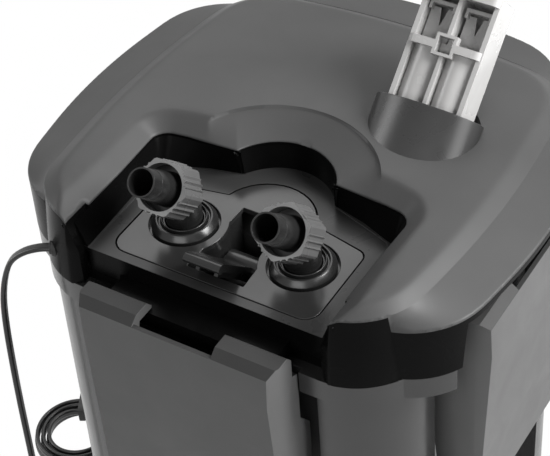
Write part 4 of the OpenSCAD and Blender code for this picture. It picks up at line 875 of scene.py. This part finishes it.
# finish of each piece and the round of its edges in millimetres
ROUNDED = {
    "canister_body": ("shell", 0.8), "canister_feet": ("rubber", 0.5),
    "clip_front": ("clip", 0.5), "clip_right": ("clip", 0.5),
    "clip_rear": ("clip", 0.5), "clip_left": ("clip", 0.5),
    "tap_plate": ("gloss", 0.35), "tap_lever": ("tap", 0.4),
    "swivel_ring_left": ("tap", 0.35), "swivel_ring_right": ("tap", 0.35),
    "elbow_left": ("tap", 0.35), "elbow_right": ("tap", 0.35),
    "hose_nut_left": ("nut", 0.3), "hose_nut_right": ("nut", 0.3),
    "prefilter_port": ("hood", 0.6), "prefilter_frame": ("pale", 0.4),
    "prefilter_flap_left": ("flap", 0.25), "prefilter_flap_right": ("flap", 0.25),
    "cord_grommet": ("rubber", 0.3), "power_plug": ("plug", 0.8), "cord_tie": ("rubber", 0.3),
}

PAINTED = {
    "clip_pins": "steel", "riser_tube": "basket", "basket_lower": "basket", "basket_middle": "basket",
    "basket_upper": "basket", "ceramic_rings": "ceramic", "foam_coarse": "coarse", "foam_fine": "fine",
    "head_base": "inner", "head_seal": "rubber", "cover_screws": "steel", "motor_housing": "pump",
    "stator": "copper", "rotor_magnet": "ferrite", "impeller": "rotor", "rotor_shaft": "steel",
    "shaft_bush_upper": "rubber", "shaft_bush_lower": "rubber", "volute_cover": "pump",
    "volute_screws": "steel", "outlet_duct": "pump", "tap_body": "tap", "valve_barrel_left": "inner",
    "valve_barrel_right": "inner", "lever_shaft": "inner", "spigot_seals": "rubber",
    "prefilter_sponges": "sponge", "prefilter_seal": "rubber", "plug_pins": "brass",
}

made = {node: rounded(node, finish, width) for node, (finish, width) in ROUNDED.items()}
# painted shade on the tops of the clips' heads, and a painted highlight on the front rims of the hose nuts
for side in ("front", "right", "rear", "left"):
    paint_faces(made["clip_" + side], "clip_top", lambda face: face.normal.z > 0.6)
for joint in frame["joints"]:
    if joint["name"] in ("nut_left_spin", "nut_right_spin"):
        nut_axis = Vector(joint["axis"])
        paint_faces(made["hose_nut_" + joint["name"].split("_")[1]], "nut_rim_painted_highlight",
                    lambda face: face.normal.dot(nut_axis) > 0.8)
for node, finish in PAINTED.items():
    paint(frame["nodes"][node], finish)

# ------------------------------------------------------------------ stage and light

DIM_LIGHT = 0.06


def seen_directly(tree):
    """Light path mask for what the camera sees itself, in a reflection or through something clear."""
    path = add_node(tree, "LightPath")
    first = add_node(tree, "Math", {0: path.outputs["Is Camera Ray"], 1: path.outputs["Is Glossy Ray"]},
                     operation="MAXIMUM")
    return add_node(tree, "Math", {0: first.outputs[0], 1: path.outputs["Is Transmission Ray"]},
                    operation="MAXIMUM").outputs[0]


def make_floor():
    bpy.ops.object.select_all(action="DESELECT")
    bpy.ops.mesh.primitive_plane_add(size=12, location=(0, 0, 0))
    floor = bpy.context.object
    floor.name = "floor"
    mat, tree, shader, _ = start_finish("floor_white", spec=0.1)
    shader.inputs["Base Color"].default_value = grey(0.8)
    shader.inputs["Roughness"].default_value = 0.9
    white = add_node(tree, "Emission")
    white.inputs["Color"].default_value = (1, 1, 1, 1)
    mix = add_node(tree, "MixShader", {0: seen_directly(tree), 1: shader.outputs[0], 2: white.outputs[0]})
    tree.links.new(mix.outputs[0], tree.nodes["Material Output"].inputs["Surface"])
    floor.data.materials.append(mat)


def make_world():
    """A dim white light from all round, seen as full white."""
    world = bpy.context.scene.world or bpy.data.worlds.new("world")
    bpy.context.scene.world = world
    world.use_nodes = True
    tree = world.node_tree
    tree.nodes.clear()
    dim = add_node(tree, "Background", Color=(1, 1, 1, 1), Strength=DIM_LIGHT)
    bright = add_node(tree, "Background", Color=(1, 1, 1, 1), Strength=1.0)
    mix = add_node(tree, "MixShader", {0: seen_directly(tree), 1: dim.outputs[0], 2: bright.outputs[0]})
    out = add_node(tree, "OutputWorld")
    tree.links.new(mix.outputs[0], out.inputs["Surface"])


def lamp(name, at, look, size, watts):
    """A rectangular lamp at a place, aimed at another, with its size in metres."""
    data = bpy.data.lights.new(name, "AREA")
    data.shape = "RECTANGLE"
    data.size, data.size_y = size
    data.energy = watts
    obj = bpy.data.objects.new(name, data)
    bpy.context.scene.collection.objects.link(obj)
    obj.location = at
    obj.rotation_mode = "QUATERNION"
    obj.rotation_quaternion = (Vector(at) - Vector(look)).to_track_quat("Z", "Y")


make_floor()
make_world()
lamp("key", (0.2, 0.9, 1.5), (0, 0, 0.35), (1.2, 0.8), 6)
lamp("top", (0.9, 0.35, 1.1), (0, 0, 0.35), (0.5, 0.7), 30)
lamp("right", (1.3, -0.2, 0.7), (0, 0, 0.3), (0.5, 1.2), 9)
lamp("left", (-1.2, -0.4, 0.7), (0, 0, 0.3), (0.4, 1.2), 7)
lamp("front", (0.3, -1.4, 1.2), (0, 0, 0.35), (1.0, 0.5), 8)
lamp("rear", (-0.62, 0.76, 1.23), (0, 0, 0.35), (0.5, 0.5), 2)
